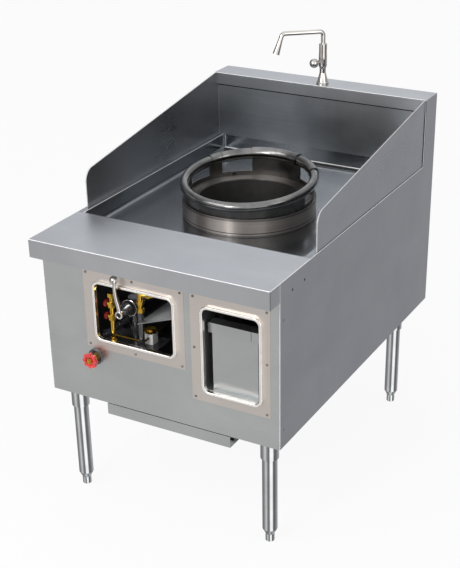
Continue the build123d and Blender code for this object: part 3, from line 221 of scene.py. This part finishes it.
# Polished or plated metal: faint wipe marks in the gloss and a little unevenness
def polishedMetal(name, settings):
    material = newMaterial(name)
    coords = patternCoords(material, polishPattern["wipe"])
    clouds = addNode(material, "ShaderNodeTexNoise",
                     {"Scale": 1.0, "Detail": 6.0, "Roughness": 0.6, "Distortion": 0.6},
                     {"Vector": coords.outputs[0]})
    fine = patternCoords(material, polishPattern["dimple"])
    dimples = addNode(material, "ShaderNodeTexNoise", {"Scale": 1.0, "Detail": 3.0},
                      {"Vector": fine.outputs[0]})
    color = addNode(material, "ShaderNodeValToRGB", {}, {"Fac": clouds.outputs["Fac"]},
                    [(0.3, settings["dark"]), (0.7, settings["light"])])
    rough = addNode(material, "ShaderNodeMapRange",
                    {"To Min": settings["rough"] * 0.6, "To Max": settings["rough"] * 1.4},
                    {"Value": clouds.outputs["Fac"]})
    bump = addNode(material, "ShaderNodeBump",
                   {"Strength": settings.get("bump", 0.05), "Distance": polishPattern["relief"]},
                   {"Height": dimples.outputs["Fac"]})
    shader = addNode(material, "ShaderNodeBsdfPrincipled", {"Metallic": 1.0},
                     {"Base Color": color.outputs[0], "Roughness": rough.outputs[0], "Normal": bump.outputs[0]})
    return finishMaterial(material, shader)


# Patterns of painted and cast surfaces, in repeats per metre
coatPattern = {
    "mottle": (30, 30, 30),  # 33 mm mottling
    "pits": 500,             # 2 mm pits: real ones are about 0.5 mm, drawn coarser so that they show
    "relief": 0.0004,
}


# Painted or cast surface: mottled colour and a pitted relief, glossy where it has a coat
def coatedSurface(name, settings):
    material = newMaterial(name)
    coords = patternCoords(material, coatPattern["mottle"])
    clouds = addNode(material, "ShaderNodeTexNoise", {"Scale": 1.0, "Detail": 6.0, "Roughness": 0.6},
                     {"Vector": coords.outputs[0]})
    fine = patternCoords(material, (settings.get("pits", coatPattern["pits"]),) * 3)
    pits = addNode(material, "ShaderNodeTexNoise", {"Scale": 1.0, "Detail": 4.0, "Roughness": 0.6},
                   {"Vector": fine.outputs[0]})
    color = addNode(material, "ShaderNodeValToRGB", {}, {"Fac": clouds.outputs["Fac"]},
                    [(0.3, settings["dark"]), (0.7, settings["light"])])
    rough = addNode(material, "ShaderNodeMapRange",
                    {"To Min": settings["rough"] - 0.08, "To Max": settings["rough"] + 0.1},
                    {"Value": pits.outputs["Fac"]})
    bump = addNode(material, "ShaderNodeBump",
                   {"Strength": settings.get("bump", 0.2), "Distance": coatPattern["relief"]},
                   {"Height": pits.outputs["Fac"]})
    shader = addNode(material, "ShaderNodeBsdfPrincipled",
                     {"Metallic": settings.get("metallic", 0.0), "Coat Weight": settings.get("coat", 0.0),
                      "Coat Roughness": 0.15},
                     {"Base Color": color.outputs[0], "Roughness": rough.outputs[0], "Normal": bump.outputs[0]})
    return finishMaterial(material, shader)


# Worktop sheet, brushed along its length: light grey with soft streaks, painted highlights on its folds, and
# painted shade lines down its front right corner and along its rear edge
shelfSteel = brushedSteel("brushed_stainless_shelf", {
    "grain": "x", "dark": "#aeb0b3", "light": "#c3c5c8", "rough": 0.33,
    "bright": [("Y", frontY, "Z", topZ, 0.0014), ("X", sideX, "Z", topZ, 0.0012),
               ("X", -sideX, "Z", topZ, 0.0009)],
    "seamShades": [("X", sideX, "Y", frontY, 0.0009), ("Y", shelfY, "Z", topZ, 0.0005)]})
# Front panel: an even neutral grey, with the shadow of the fascia above it
frontSteel = brushedSteel("brushed_stainless_front", {
    "grain": "x", "dark": "#b6b8b7", "light": "#cbcdcc", "rough": 0.35,
    "seamShades": [("Z", fasciaFootZ, "Y", panelY, 0.0022)]})
# Side panels: cooler and darker, with painted highlights on the folds down the front, along the top and up the
# rear column, and a painted shadow line beside the rear column
sideSteel = brushedSteel("brushed_stainless_side", {
    "grain": "y", "dark": "#a4a5a9", "light": "#b8b9bd", "rough": 0.35,
    "bright": [line for x in (sideX, -sideX)
               for line in (("X", x, "Y", panelY, 0.0013), ("X", x, "Z", topZ, 0.0011, "Y", -farOff, ledgeY),
                            ("X", x, "Y", ledgeY, 0.0010, "Z", topZ, farOff))],
    "seamShades": [("X", x, "Y", ledgeY + 0.0026, 0.0012, "Z", topZ, farOff) for x in (sideX, -sideX)]})
# Rear panel and drip tray: plain brushed sheet with no lines
panelSteelX = brushedSteel("brushed_stainless_grain_x", {
    "grain": "x", "dark": "#b4b6b6", "light": "#cbcccc", "rough": 0.35})
# Back ledge: a little glossier, with a painted highlight on its front fold
ledgeSteel = brushedSteel("brushed_stainless_ledge", {
    "grain": "x", "dark": "#a0a2a5", "light": "#bbbdc0", "rough": 0.3,
    "bright": [("Y", ledgeY, "Z", ledgeZ, 0.0013)]})
# Side splashes: smoother sheet that mirrors the well softly, its cut edges a pale painted highlight, and a
# painted highlight line up the rear corner of the left splash
splashSteel = brushedSteel("brushed_stainless_splash", {
    "grain": "y", "dark": "#9b9da1", "light": "#b2b4b8", "rough": 0.25, "cutEdges": True,
    "edgeTone": (0.5, 0.62), "bright": [("X", -splashX, "Y", wellRearY, 0.0013)]})
# Back splash: dark brushed wall with the shadow line under the ledge's lip
wallSteel = brushedSteel("brushed_stainless_wall", {
    "grain": "x", "dark": "#85888c", "light": "#b6b9bc", "rough": 0.31,
    "seamShades": [("Y", wellRearY, "Z", lipZ - 0.0035, 0.0035)]})
# Well deck: nearly polished, so that it shows the drum and walls, with painted highlights on the folds at its
# rim and foot, and a painted shade band along its rear foot
deckSteel = brushedSteel("polished_stainless_deck", {
    "grain": "y", "dark": "#84888c", "light": "#9b9fa3", "rough": 0.17, "bump": 0.05,
    "bright": [("X", -wellHalf, "Z", topZ, 0.0013), ("Y", wellRearY, "Z", wellZ + 0.0085, 0.0014)],
    "seamShades": [("Y", wellRearY - 0.004, "Z", wellZ + 0.003, 0.0040)]})
# Frame plates: stainless with a warm, slightly pink tone beside the grey panel
frameSteel = brushedSteel("warm_brushed_stainless", {
    "grain": "x", "dark": "#cfc6c0", "light": "#dfd7d1", "rough": 0.36})
# Rails, runners and stand: unfinished sheet, dark and dull
dullSteel = brushedSteel("dull_stainless_sheet", {
    "grain": "x", "dark": "#6c6c6c", "light": "#8b8b8b", "rough": 0.45})
# Shield and base pan: galvanised sheet, blotched between mid and light grey
shieldSteel = brushedSteel("galvanised_sheet", {
    "grain": "x", "dark": "#7f8182", "light": "#c2c4c5", "rough": 0.3})
# Bin and its compartment: matt brushed sheet
binSteel = brushedSteel("brushed_stainless_bin", {
    "grain": "x", "dark": "#aeb0b0", "light": "#c4c6c6", "rough": 0.38})
# Wok ring tube: satin stainless dulled by heat, with long soft highlights
ringSteel = polishedMetal("satin_stainless_tube", {
    "dark": "#686868", "light": "#8f8e8d", "rough": 0.2, "bump": 0.02})
# Cap arcs: the same tube, a little darker where they sit over it
capSteel = polishedMetal("satin_stainless_cap", {
    "dark": "#5a5a5b", "light": "#929190", "rough": 0.19, "bump": 0.02})
# Ring skirt: brown-grey and matt from the flame
skirtSteel = polishedMetal("heat_dulled_stainless", {
    "dark": "#6c6a68", "light": "#8f8d8b", "rough": 0.3, "bump": 0.08})
# Legs: polished tube with sharp upright highlights
legSteel = polishedMetal("polished_leg_tube", {"dark": "#c0c2c3", "light": "#d6d8d9", "rough": 0.11})
# Bezels: bright pressed rims, almost white at their crests
bezelSteel = polishedMetal("bright_drawn_bezel", {
    "dark": "#efeae4", "light": "#fbf8f4", "rough": 0.22, "bump": 0.01})
# Screws: small heads darker than the plate round them
screwSteel = polishedMetal("dark_screw_head", {"dark": "#6f6a66", "light": "#a09a94", "rough": 0.3})
# Faucet and lever: chrome plate, a near mirror with a trace of warmth
chrome = polishedMetal("bright_chrome_plate", {
    "dark": "#bdb7b3", "light": "#e6e2de", "rough": 0.06, "bump": 0.02})
# Fittings: turned brass, yellow with soft gloss
brass = polishedMetal("turned_brass", {"dark": "#b08a2e", "light": "#e0bb55", "rough": 0.24})
# Pilot tubes: brass gone brown
dullBrass = polishedMetal("oxidised_brass", {"dark": "#3a2c12", "light": "#6b5424", "rough": 0.4})
# Gas pipes: black lacquer, sharp small highlights on near black
blackPipe = coatedSurface("black_lacquered_pipe", {
    "dark": "#202022", "light": "#3c3c40", "rough": 0.25, "coat": 0.9})
# Burner and liner: raw cast iron, rough and dark with 3 mm lumps from the sand mould
castIron = coatedSurface("raw_cast_iron", {
    "dark": "#121110", "light": "#23211f", "rough": 0.62, "metallic": 0.4, "pits": 320, "bump": 0.5})
# Soot black, also used as painted shade in the ring's vents: swallows the light
sootAndShadeBlack = coatedSurface("soot_and_shade_black_steel", {"dark": "#050505", "light": "#111111", "rough": 0.7})
# Handwheel: glossy red enamel
redEnamel = coatedSurface("red_enamel", {
    "dark": "#c4161a", "light": "#e8322e", "rough": 0.22, "coat": 0.8, "bump": 0.05})
# Pilot knobs: the same enamel made darker, as painted shade for their place inside the cabinet's opening
knobEnamel = coatedSurface("dark_red_enamel", {
    "dark": "#6d0a0c", "light": "#a31517", "rough": 0.3, "coat": 0.4, "bump": 0.06})
# Safety valve: white enamel with a soft gloss
whiteEnamel = coatedSurface("white_enamel", {
    "dark": "#f2f2ee", "light": "#fdfdfb", "rough": 0.4, "coat": 0.2, "bump": 0.1})


# Turned sheet: lines round the axis draw each light out into an upright streak
def turnedSteel(name, settings):
    material = newMaterial(name)
    fine = patternCoords(material, settings["turning"])
    lines = addNode(material, "ShaderNodeTexNoise", {"Scale": 1.0, "Detail": 3.0}, {"Vector": fine.outputs[0]})
    cloudCoords = patternCoords(material, settings["cloud"])
    clouds = addNode(material, "ShaderNodeTexNoise", {"Scale": 1.0, "Detail": 5.0, "Distortion": 0.5},
                     {"Vector": cloudCoords.outputs[0]})
    mixed = addNode(material, "ShaderNodeMath", {"operation": "ADD"},
                    {0: lines.outputs["Fac"], 1: clouds.outputs["Fac"]})
    plain = addNode(material, "ShaderNodeValToRGB", {}, {"Fac": mixed.outputs[0]},
                    [(0.55, settings["dark"]), (1.25, settings["light"])])
    low, high = settings["ledge"]
    middle = (low + high) / 2
    band = linesMask(material, [("Z", middle, "Z", middle, (high - low) / 2)])
    color = addNode(material, "ShaderNodeMix", {"data_type": "RGBA", 7: toLinear(settings["ledgeTone"])},
                    {0: band.outputs[0], 6: plain.outputs[0]})
    tangent = addNode(material, "ShaderNodeTangent", {"direction_type": "RADIAL", "axis": "Z"})
    sheet = addNode(material, "ShaderNodeBsdfPrincipled",
                    {"Metallic": 1.0, "Roughness": settings["rough"], "Anisotropic": settings["anisotropic"],
                     "Anisotropic Rotation": 0.25},
                    {"Base Color": color.outputs[2], "Tangent": tangent.outputs[0]})
    shadow = addNode(material, "ShaderNodeBsdfPrincipled",
                     {"Base Color": toLinear(settings["seamShadeTone"]), "Roughness": 0.6})
    mask = linesMask(material, [("Z", settings["seamShade"], "Z", settings["seamShade"], settings["seamShadeHalf"])])
    shader = addNode(material, "ShaderNodeMixShader", {},
                     {0: mask.outputs[0], 1: sheet.outputs[0], 2: shadow.outputs[0]})
    return finishMaterial(material, shader)


# Drum: warm grey turned stainless, one bright upright streak, a painted shadow line where it meets the deck
# near its foot, and a darker ledge
drumSteel = turnedSteel("turned_stainless", {
    "dark": "#958d88", "light": "#b4aca6", "rough": 0.42, "anisotropic": 0.94,
    "turning": (3, 3, 700),   # 1.4 mm lines: real ones are about 0.2 mm, drawn coarser so that they show
    "cloud": (6, 6, 6),       # 170 mm clouds
    "seamShade": 0.7492, "seamShadeHalf": 0.0011, "seamShadeTone": "#17161a",
    "ledge": (0.7835, 0.8), "ledgeTone": "#7d7976"})

finishes = {
    "left_side_panel": sideSteel, "right_side_panel": sideSteel, "front_panel": frontSteel,
    "rear_panel": panelSteelX, "base_pan": shieldSteel, "top_shelf": shelfSteel, "well_deck": deckSteel,
    "deck_rails": dullSteel, "back_splash": wallSteel, "back_ledge": ledgeSteel, "left_splash": splashSteel,
    "right_splash": splashSteel, "chamber_drum": drumSteel, "chamber_liner": castIron,
    "wok_ring_skirt": skirtSteel, "wok_ring_tube": ringSteel, "wok_ring_caps": capSteel,
    "burner_head": castIron, "burner_jets": brass, "mixing_tube": castIron, "burner_stand": dullSteel,
    "gas_feed_pipe": blackPipe, "shutoff_valve": brass, "handwheel": redEnamel, "panel_flange": blackPipe,
    "gas_riser": blackPipe, "main_valve": blackPipe, "valve_spindle": sootAndShadeBlack, "gas_lever": chrome,
    "lever_ball": chrome, "burner_pipe": blackPipe, "valve_bracket": blackPipe, "pilot_column": brass,
    "upper_pilot_knob": knobEnamel, "lower_pilot_knob": knobEnamel, "safety_valve": whiteEnamel,
    "safety_cap": brass, "pilot_tubes": dullBrass, "heat_shield": shieldSteel, "left_frame_plate": frameSteel,
    "right_frame_plate": frameSteel, "left_bezel": bezelSteel, "right_bezel": bezelSteel,
    "frame_screws": screwSteel, "side_screws": screwSteel, "bin_compartment": binSteel, "catch_bin": binSteel,
    "drip_tray": panelSteelX, "tray_runners": dullSteel, "leg_sockets": legSteel, "leg_tubes": legSteel,
    "front_left_foot": legSteel, "front_right_foot": legSteel, "rear_left_foot": legSteel,
    "rear_right_foot": legSteel, "faucet_body": chrome, "faucet_locknut": brass, "faucet_nut": chrome,
    "faucet_spout": chrome, "faucet_handle": chrome,
}
for name, node in nodes.items():
    node.data.materials.clear()
    node.data.materials.append(finishes[name])
print("materials done")

weldDistance = 0.000005   # points closer than this are one
turnSteps = 48            # steps of a full turn
rimShare = 0.12           # rounding of a bar's rims as a share of its radius, and the most it may be
rimMost = 0.0008
toFront, toRear, upward = (0, -1, 0), (0, 1, 0), (0, 0, 1)


# Object from a finished shape, with its normals outward
def makePiece(name, shape, material, body, smooth=True):
    bmesh.ops.remove_doubles(shape, verts=shape.verts, dist=weldDistance)
    bmesh.ops.recalc_face_normals(shape, faces=shape.faces)
    mesh = bpy.data.meshes.new(name)
    shape.to_mesh(mesh)
    shape.free()
    for face in mesh.polygons:
        face.use_smooth = smooth
    mesh.materials.append(material)
    piece = bpy.data.objects.new(name, mesh)
    scene.collection.objects.link(piece)
    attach(piece, body)
    return piece


# Closed turned shape: a profile of radius and height pairs spun about an axis through a point
def turnProfile(shape, point, axis, profile):
    alongAxis = Vector(axis).to_track_quat("Z", "Y").to_matrix()
    verts = [shape.verts.new(Vector(point) + alongAxis @ Vector((radius, 0, height)))
             for radius, height in profile]
    edges = [shape.edges.new(pair) for pair in zip(verts, verts[1:])]
    bmesh.ops.spin(shape, geom=verts + edges, cent=point, axis=axis, angle=2 * math.pi, steps=turnSteps,
                   use_merge=True, use_duplicate=False)
    bmesh.ops.remove_doubles(shape, verts=shape.verts, dist=weldDistance)


# Round or six-sided bar from a point along a direction, with its rims rounded
def addBar(shape, start, direction, length, radius, sides=32):
    turnTo = Vector(direction).to_track_quat("Z", "Y").to_matrix().to_4x4()
    unit = Vector(direction).normalized()
    middle = Vector(start) + unit * length / 2
    bar = bmesh.ops.create_cone(shape, cap_ends=True, segments=sides, radius1=radius, radius2=radius,
                                depth=length, matrix=Matrix.Translation(middle) @ turnTo)
    rims = [edge for edge in {edge for vert in bar["verts"] for edge in vert.link_edges}
            if abs((edge.verts[0].co - edge.verts[1].co).normalized().dot(unit)) < 0.5]
    bmesh.ops.bevel(shape, geom=rims, offset=min(radius * rimShare, rimMost), affect="EDGES", segments=2,
                    profile=0.5, material=-1)


# Gas lever: drop-forged arm that swells from the ball down to an eye on the spindle
leverSettings = {
    "x": -0.112,
    "arm": [(-0.4905, 0.6200, 6.2), (-0.4930, 0.634, 7.4), (-0.5010, 0.655, 6.8), (-0.5070, 0.678, 5.6),
            (-0.5075, 0.708, 4.2)],   # y and z in metres, radius in millimetres
    "eye": [(0.0052, 0.0), (0.0100, 0.0), (0.0116, 0.0014), (0.0116, 0.0116), (0.0100, 0.0130),
            (0.0052, 0.0130), (0.0052, 0.0)],
    "eyeAt": (-0.4975, 0.610),
    "millimetre": 0.001,
    "order": 4, "stepsAlong": 10, "stepsRound": 6,
}
leverCurve = bpy.data.curves.new("leverArmCurve", "CURVE")
leverCurve.dimensions = "3D"
leverCurve.bevel_depth = leverSettings["millimetre"]
leverCurve.bevel_resolution = leverSettings["stepsRound"]
leverCurve.use_fill_caps = True
leverSpline = leverCurve.splines.new("NURBS")
leverSpline.points.add(len(leverSettings["arm"]) - 1)
for point, (y, z, radius) in zip(leverSpline.points, leverSettings["arm"]):
    point.co = (leverSettings["x"], y, z, 1)
    point.radius = radius
leverSpline.use_endpoint_u = True
leverSpline.order_u = leverSettings["order"]
leverSpline.resolution_u = leverSettings["stepsAlong"]
leverObject = bpy.data.objects.new("leverArmCurve", leverCurve)
leverMesh = bpy.data.meshes.new_from_object(leverObject)
bpy.data.objects.remove(leverObject)
leverShape = bmesh.new()
leverShape.from_mesh(leverMesh)
turnProfile(leverShape, (leverSettings["x"],) + leverSettings["eyeAt"], toRear, leverSettings["eye"])
gasLever = makePiece("gasLeverArm", leverShape, chrome, "lever")
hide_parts("gas_lever")
print("lever done")

# Stop disc on the main valve with a bright turned rim
stopSettings = {
    "at": (-0.112, -0.4440, 0.610),
    "disc": [(0.0, 0.0), (0.0222, 0.0), (0.0222, 0.003), (0.0, 0.003)],
    "rim": [(0.0222, 0.0), (0.0234, 0.0002), (0.0237, 0.0016), (0.0234, 0.0034), (0.0222, 0.0036),
            (0.0222, 0.0)],
}
stopDisc = bmesh.new()
turnProfile(stopDisc, stopSettings["at"], toFront, stopSettings["disc"])
makePiece("valveStopDisc", stopDisc, sootAndShadeBlack, "cabinet", False)
stopRim = bmesh.new()
turnProfile(stopRim, stopSettings["at"], toFront, stopSettings["rim"])
makePiece("valveStopRim", stopRim, chrome, "cabinet")

# Black hub between the stop disc and the lever
hubSettings = {
    "at": (-0.112, -0.4475, 0.610),
    "profile": [(0.0053, 0.0), (0.0150, 0.0), (0.0160, 0.002), (0.0160, 0.014), (0.0125, 0.022),
                (0.0100, 0.036), (0.0088, 0.0365), (0.0053, 0.0365), (0.0053, 0.0)],
}
leverHub = bmesh.new()
turnProfile(leverHub, hubSettings["at"], toFront, hubSettings["profile"])
makePiece("leverHub", leverHub, blackPipe, "lever")

# Standpipe on the bracket: black pipe with a flange, brass body with hexagon nuts and a side branch
standpipeSettings = {
    "x": -0.0690, "y": -0.4570, "foot": 0.5092, "pipeTop": 0.612, "pipeRadius": 0.0080,
    "flangeHeight": 0.008, "flangeRadius": 0.011,
    "bodyTop": 0.681, "bodyRadius": 0.0068,
    "nutLevels": (0.612, 0.634, 0.669), "nutLength": 0.011, "nutRadius": 0.0108,
    "branchLevel": 0.662, "branchTowards": (1, 0.25, 0), "branchLength": 0.038, "branchRadius": 0.0055,
    "branchNutAt": (0.018, 0.0045), "branchNutLength": 0.010, "branchNutRadius": 0.0095,
}
standX, standY = standpipeSettings["x"], standpipeSettings["y"]
pipeFoot = (standX, standY, standpipeSettings["foot"])
pipeShape = bmesh.new()
addBar(pipeShape, pipeFoot, upward, standpipeSettings["pipeTop"] - standpipeSettings["foot"],
       standpipeSettings["pipeRadius"])
addBar(pipeShape, pipeFoot, upward, standpipeSettings["flangeHeight"], standpipeSettings["flangeRadius"])
makePiece("standPipe", pipeShape, blackPipe, "cabinet", False)
bodyShape = bmesh.new()
addBar(bodyShape, (standX, standY, standpipeSettings["pipeTop"]), upward,
       standpipeSettings["bodyTop"] - standpipeSettings["pipeTop"], standpipeSettings["bodyRadius"])
for level in standpipeSettings["nutLevels"]:
    addBar(bodyShape, (standX, standY, level), upward, standpipeSettings["nutLength"],
           standpipeSettings["nutRadius"], 6)
addBar(bodyShape, (standX, standY, standpipeSettings["branchLevel"]), standpipeSettings["branchTowards"],
       standpipeSettings["branchLength"], standpipeSettings["branchRadius"])
nutX, nutY = standpipeSettings["branchNutAt"]
addBar(bodyShape, (standX + nutX, standY + nutY, standpipeSettings["branchLevel"]),
       standpipeSettings["branchTowards"], standpipeSettings["branchNutLength"],
       standpipeSettings["branchNutRadius"], 6)
makePiece("standPipeBrass", bodyShape, brass, "cabinet", False)

# Black branch pipe that rises from the shut-off valve and runs back, with its couplings
branchSettings = {
    "x": -0.2000, "z": 0.5060, "front": -0.4560, "length": 0.165, "radius": 0.0100,
    "riserFoot": 0.4830, "riserAt": 0.012,
    "couplings": [(0.012, 0.016), (0.060, 0.007), (0.074, 0.007), (0.120, 0.016)],   # how far back, length
    "couplingWall": 0.0032,
}
branchX, branchY, branchZ = branchSettings["x"], branchSettings["front"], branchSettings["z"]
branchShape = bmesh.new()
addBar(branchShape, (branchX, branchY, branchZ), toRear, branchSettings["length"], branchSettings["radius"])
addBar(branchShape, (branchX, branchY + branchSettings["riserAt"], branchSettings["riserFoot"]), upward,
       branchZ - branchSettings["riserFoot"], branchSettings["radius"])
for along, length in branchSettings["couplings"]:
    addBar(branchShape, (branchX, branchY + along, branchZ), toRear, length,
           branchSettings["radius"] + branchSettings["couplingWall"])
makePiece("branchPipe", branchShape, blackPipe, "cabinet", False)

# Handwheel's washer and nut on the valve stem
nutSettings = {
    "x": -0.203, "z": 0.461,
    "washerY": -0.5158, "washerLength": 0.0012, "washerRadius": 0.0078,
    "nutY": -0.5170, "nutLength": 0.0046, "nutRadius": 0.0058,
}
wheelNut = bmesh.new()
addBar(wheelNut, (nutSettings["x"], nutSettings["washerY"], nutSettings["z"]), toFront,
       nutSettings["washerLength"], nutSettings["washerRadius"])
addBar(wheelNut, (nutSettings["x"], nutSettings["nutY"], nutSettings["z"]), toFront,
       nutSettings["nutLength"], nutSettings["nutRadius"], 6)
makePiece("handwheelNut", wheelNut, brass, "shutoff_wheel", False)

# Black plugs in the half-round vents at the ring's foot: painted shade, dark pieces standing in for the shadow
# inside the holes
ventSettings = {
    "center": (0, 0.0168), "angles": [-18.0, 73.0, 148.0, 222.6], "radius": 0.0070, "height": 0.7912,
    "inner": 0.1806, "length": 0.0045, "sides": 24,
}
ventShape = bmesh.new()
for angle in ventSettings["angles"]:
    outward = Vector((math.sin(math.radians(angle)), -math.cos(math.radians(angle)), 0))
    start = Vector(ventSettings["center"]).to_3d() + outward * ventSettings["inner"]
    start.z = ventSettings["height"]
    addBar(ventShape, start, outward, ventSettings["length"], ventSettings["radius"], ventSettings["sides"])
makePiece("ringVentShadePlugs", ventShape, sootAndShadeBlack, "wok_ring", False)
print("small pieces done")

# Camera solved from the photograph's straight edges
cameraSettings = {
    "place": (1.5715, -2.3169 + frontY, 2.0244),
    "forward": (-0.42842, 0.78607, -0.44559),
    "right": (0.88035, 0.47423, -0.00983),
    "focalPixels": 1228.14,
    "center": (253.01, 319.59),
    "image": (460, 568),
    "sensor": 36,
    "clipEnd": 50,
}
cameraData = bpy.data.cameras.new("studioCamera")
camera = bpy.data.objects.new("studioCamera", cameraData)
scene.collection.objects.link(camera)
forward = Vector(cameraSettings["forward"]).normalized()
right = Vector(cameraSettings["right"]).normalized()
up = right.cross(forward).normalized()
turned = Matrix((right, up, -forward)).transposed().to_4x4()
camera.matrix_world = Matrix.Translation(cameraSettings["place"]) @ turned
imageWide, imageHigh = cameraSettings["image"]
longSide = max(imageWide, imageHigh)
cameraData.sensor_width = cameraSettings["sensor"]
cameraData.lens = cameraSettings["sensor"] * cameraSettings["focalPixels"] / longSide
cameraData.shift_x = (imageWide / 2 - cameraSettings["center"][0]) / longSide
cameraData.shift_y = (cameraSettings["center"][1] - imageHigh / 2) / longSide
cameraData.clip_end = cameraSettings["clipEnd"]
scene.camera = camera
print("camera done")

# Pale floor: nearly white to the camera with the object's soft shadow, left out of reflections
floorSettings = {"halfSize": 14, "tone": "#e9e9e9", "whiteShare": 0.9, "height": -0.0005}
floorMesh = bpy.data.meshes.new("studioFloor")
floorShape = bmesh.new()
bmesh.ops.create_grid(floorShape, x_segments=1, y_segments=1, size=floorSettings["halfSize"])
floorShape.to_mesh(floorMesh)
floorShape.free()
floor = bpy.data.objects.new("studioFloor", floorMesh)
scene.collection.objects.link(floor)
floor.location = (0, 0, floorSettings["height"])
floorMaterial = newMaterial("pale_studio_floor")
lightPath = addNode(floorMaterial, "ShaderNodeLightPath")
paleFloor = addNode(floorMaterial, "ShaderNodeBsdfDiffuse", {"Color": toLinear(floorSettings["tone"])})
whiteFloor = addNode(floorMaterial, "ShaderNodeEmission", {"Color": toLinear("#ffffff"), "Strength": 1.0})
floorShare = addNode(floorMaterial, "ShaderNodeMath", {"operation": "MULTIPLY", 1: floorSettings["whiteShare"]},
                     {0: lightPath.outputs["Is Camera Ray"]})
floorMix = addNode(floorMaterial, "ShaderNodeMixShader", {},
                   {0: floorShare.outputs[0], 1: paleFloor.outputs[0], 2: whiteFloor.outputs[0]})
finishMaterial(floorMaterial, floorMix)
floor.data.materials.append(floorMaterial)
floor.visible_glossy = False
print("floor done")

# White room to the camera and through glass. Reflections see white walls with grey flags beside them, as set up
# for polished steel, and all other light is plain. The stops go from the left round by front, right and rear
roomSettings = {
    "flagged": 1.5, "plain": 0.75,
    "low": [(0.0, "#707070"), (0.08, "#8c8c8c"), (0.172, "#cfcfcf"), (0.225, "#8f8f8f"), (0.30, "#5e5e5e"),
            (0.345, "#ffffff"), (0.43, "#ffffff"), (0.475, "#5e5e5e"), (0.56, "#6a6a6a"), (0.67, "#a4a4a7"),
            (0.8, "#909093"), (1.0, "#707070")],
    "high": [(0.0, "#5c5c5c"), (0.2, "#9a9a9a"), (0.35, "#e8e8e8"), (0.45, "#e0e0e0"), (0.55, "#8a8a8a"),
             (0.76, "#b4b4b6"), (0.815, "#dadce0"), (0.85, "#c6c8cc"), (0.92, "#8a8a8c"), (1.0, "#5c5c5c")],
    "ceiling": "#dcdcdc",
    "lowToHigh": (-0.08, 0.12), "highToCeiling": (0.6, 0.9),   # upward share of the direction where they blend
}
world = bpy.data.worlds.new("studioRoom")
scene.world = world
world.use_nodes = True
world.node_tree.nodes.clear()
worldPath = addNode(world, "ShaderNodeLightPath")
worldCoords = addNode(world, "ShaderNodeTexCoord")
worldAxes = addNode(world, "ShaderNodeSeparateXYZ", {}, {0: worldCoords.outputs["Generated"]})
compass = addNode(world, "ShaderNodeMath", {"operation": "ARCTAN2"},
                  {0: worldAxes.outputs["Y"], 1: worldAxes.outputs["X"]})
turn = addNode(world, "ShaderNodeMapRange", {"From Min": -math.pi, "From Max": math.pi},
               {"Value": compass.outputs[0]})
lowWall = addNode(world, "ShaderNodeValToRGB", {}, {"Fac": turn.outputs[0]}, roomSettings["low"])
highWall = addNode(world, "ShaderNodeValToRGB", {}, {"Fac": turn.outputs[0]}, roomSettings["high"])
low, high = roomSettings["lowToHigh"]
rise = addNode(world, "ShaderNodeMapRange", {"From Min": low, "From Max": high},
               {"Value": worldAxes.outputs["Z"]})
walls = addNode(world, "ShaderNodeMix", {"data_type": "RGBA"},
                {0: rise.outputs[0], 6: lowWall.outputs[0], 7: highWall.outputs[0]})
low, high = roomSettings["highToCeiling"]
overhead = addNode(world, "ShaderNodeMapRange", {"From Min": low, "From Max": high},
                   {"Value": worldAxes.outputs["Z"]})
roomTone = addNode(world, "ShaderNodeMix", {"data_type": "RGBA", 7: toLinear(roomSettings["ceiling"])},
                   {0: overhead.outputs[0], 6: walls.outputs[2]})
plainRoom = addNode(world, "ShaderNodeBackground",
                    {"Color": toLinear("#ffffff"), "Strength": roomSettings["plain"]})
flaggedRoom = addNode(world, "ShaderNodeBackground", {"Strength": roomSettings["flagged"]},
                      {"Color": roomTone.outputs[2]})
whiteRoom = addNode(world, "ShaderNodeBackground", {"Color": toLinear("#ffffff"), "Strength": 1.0})
reflected = addNode(world, "ShaderNodeMixShader", {},
                    {0: worldPath.outputs["Is Glossy Ray"], 1: plainRoom.outputs[0], 2: flaggedRoom.outputs[0]})
seen = addNode(world, "ShaderNodeMath", {"operation": "MAXIMUM"},
               {0: worldPath.outputs["Is Camera Ray"], 1: worldPath.outputs["Is Transmission Ray"]})
roomMix = addNode(world, "ShaderNodeMixShader", {},
                  {0: seen.outputs[0], 1: reflected.outputs[0], 2: whiteRoom.outputs[0]})
addNode(world, "ShaderNodeOutputWorld", {}, {"Surface": roomMix.outputs[0]})
print("room done")


# Soft box aimed at a point. Blender keeps a new lamp out of the camera's sight
def softBox(name, lamp):
    lightData = bpy.data.lights.new(name, "AREA")
    lightData.shape = "RECTANGLE"
    lightData.size, lightData.size_y = lamp["size"]
    lightData.energy = lamp["watts"]
    light = bpy.data.objects.new(name, lightData)
    scene.collection.objects.link(light)
    light.location = lamp["place"]
    aim = Vector(lamp["target"]) - Vector(lamp["place"])
    light.rotation_euler = aim.to_track_quat("-Z", "Y").to_euler()


lampSettings = {
    "keyBox": {"place": (-1.8, -2.6, 3.2), "target": (0, 0, 0.6), "size": (2.0, 2.0), "watts": 30},
    "rightBox": {"place": (3.2, -0.8, 1.8), "target": (0, 0, 0.5), "size": (1.2, 2.0), "watts": 12},
    "frontBox": {"place": (-0.45, -4.3, 2.7), "target": (0, 0, 0.7), "size": (3.0, 1.2), "watts": 20},
    # Drawn out by the drum into its upright streak
    "drumStrip": {"place": (-0.38, -3.4, 2.3), "target": (0, 0, 0.8), "size": (0.55, 1.6), "watts": 26},
    # Behind the fascia, over the valves in the left opening
    "valveBox": {"place": (-0.10, -0.405, 0.712), "target": (-0.13, -0.40, 0.50), "size": (0.12, 0.05),
                 "watts": 0.22},
}
for name, lamp in lampSettings.items():
    softBox(name, lamp)
print("lamps done")

scene.view_settings.view_transform = "Standard"
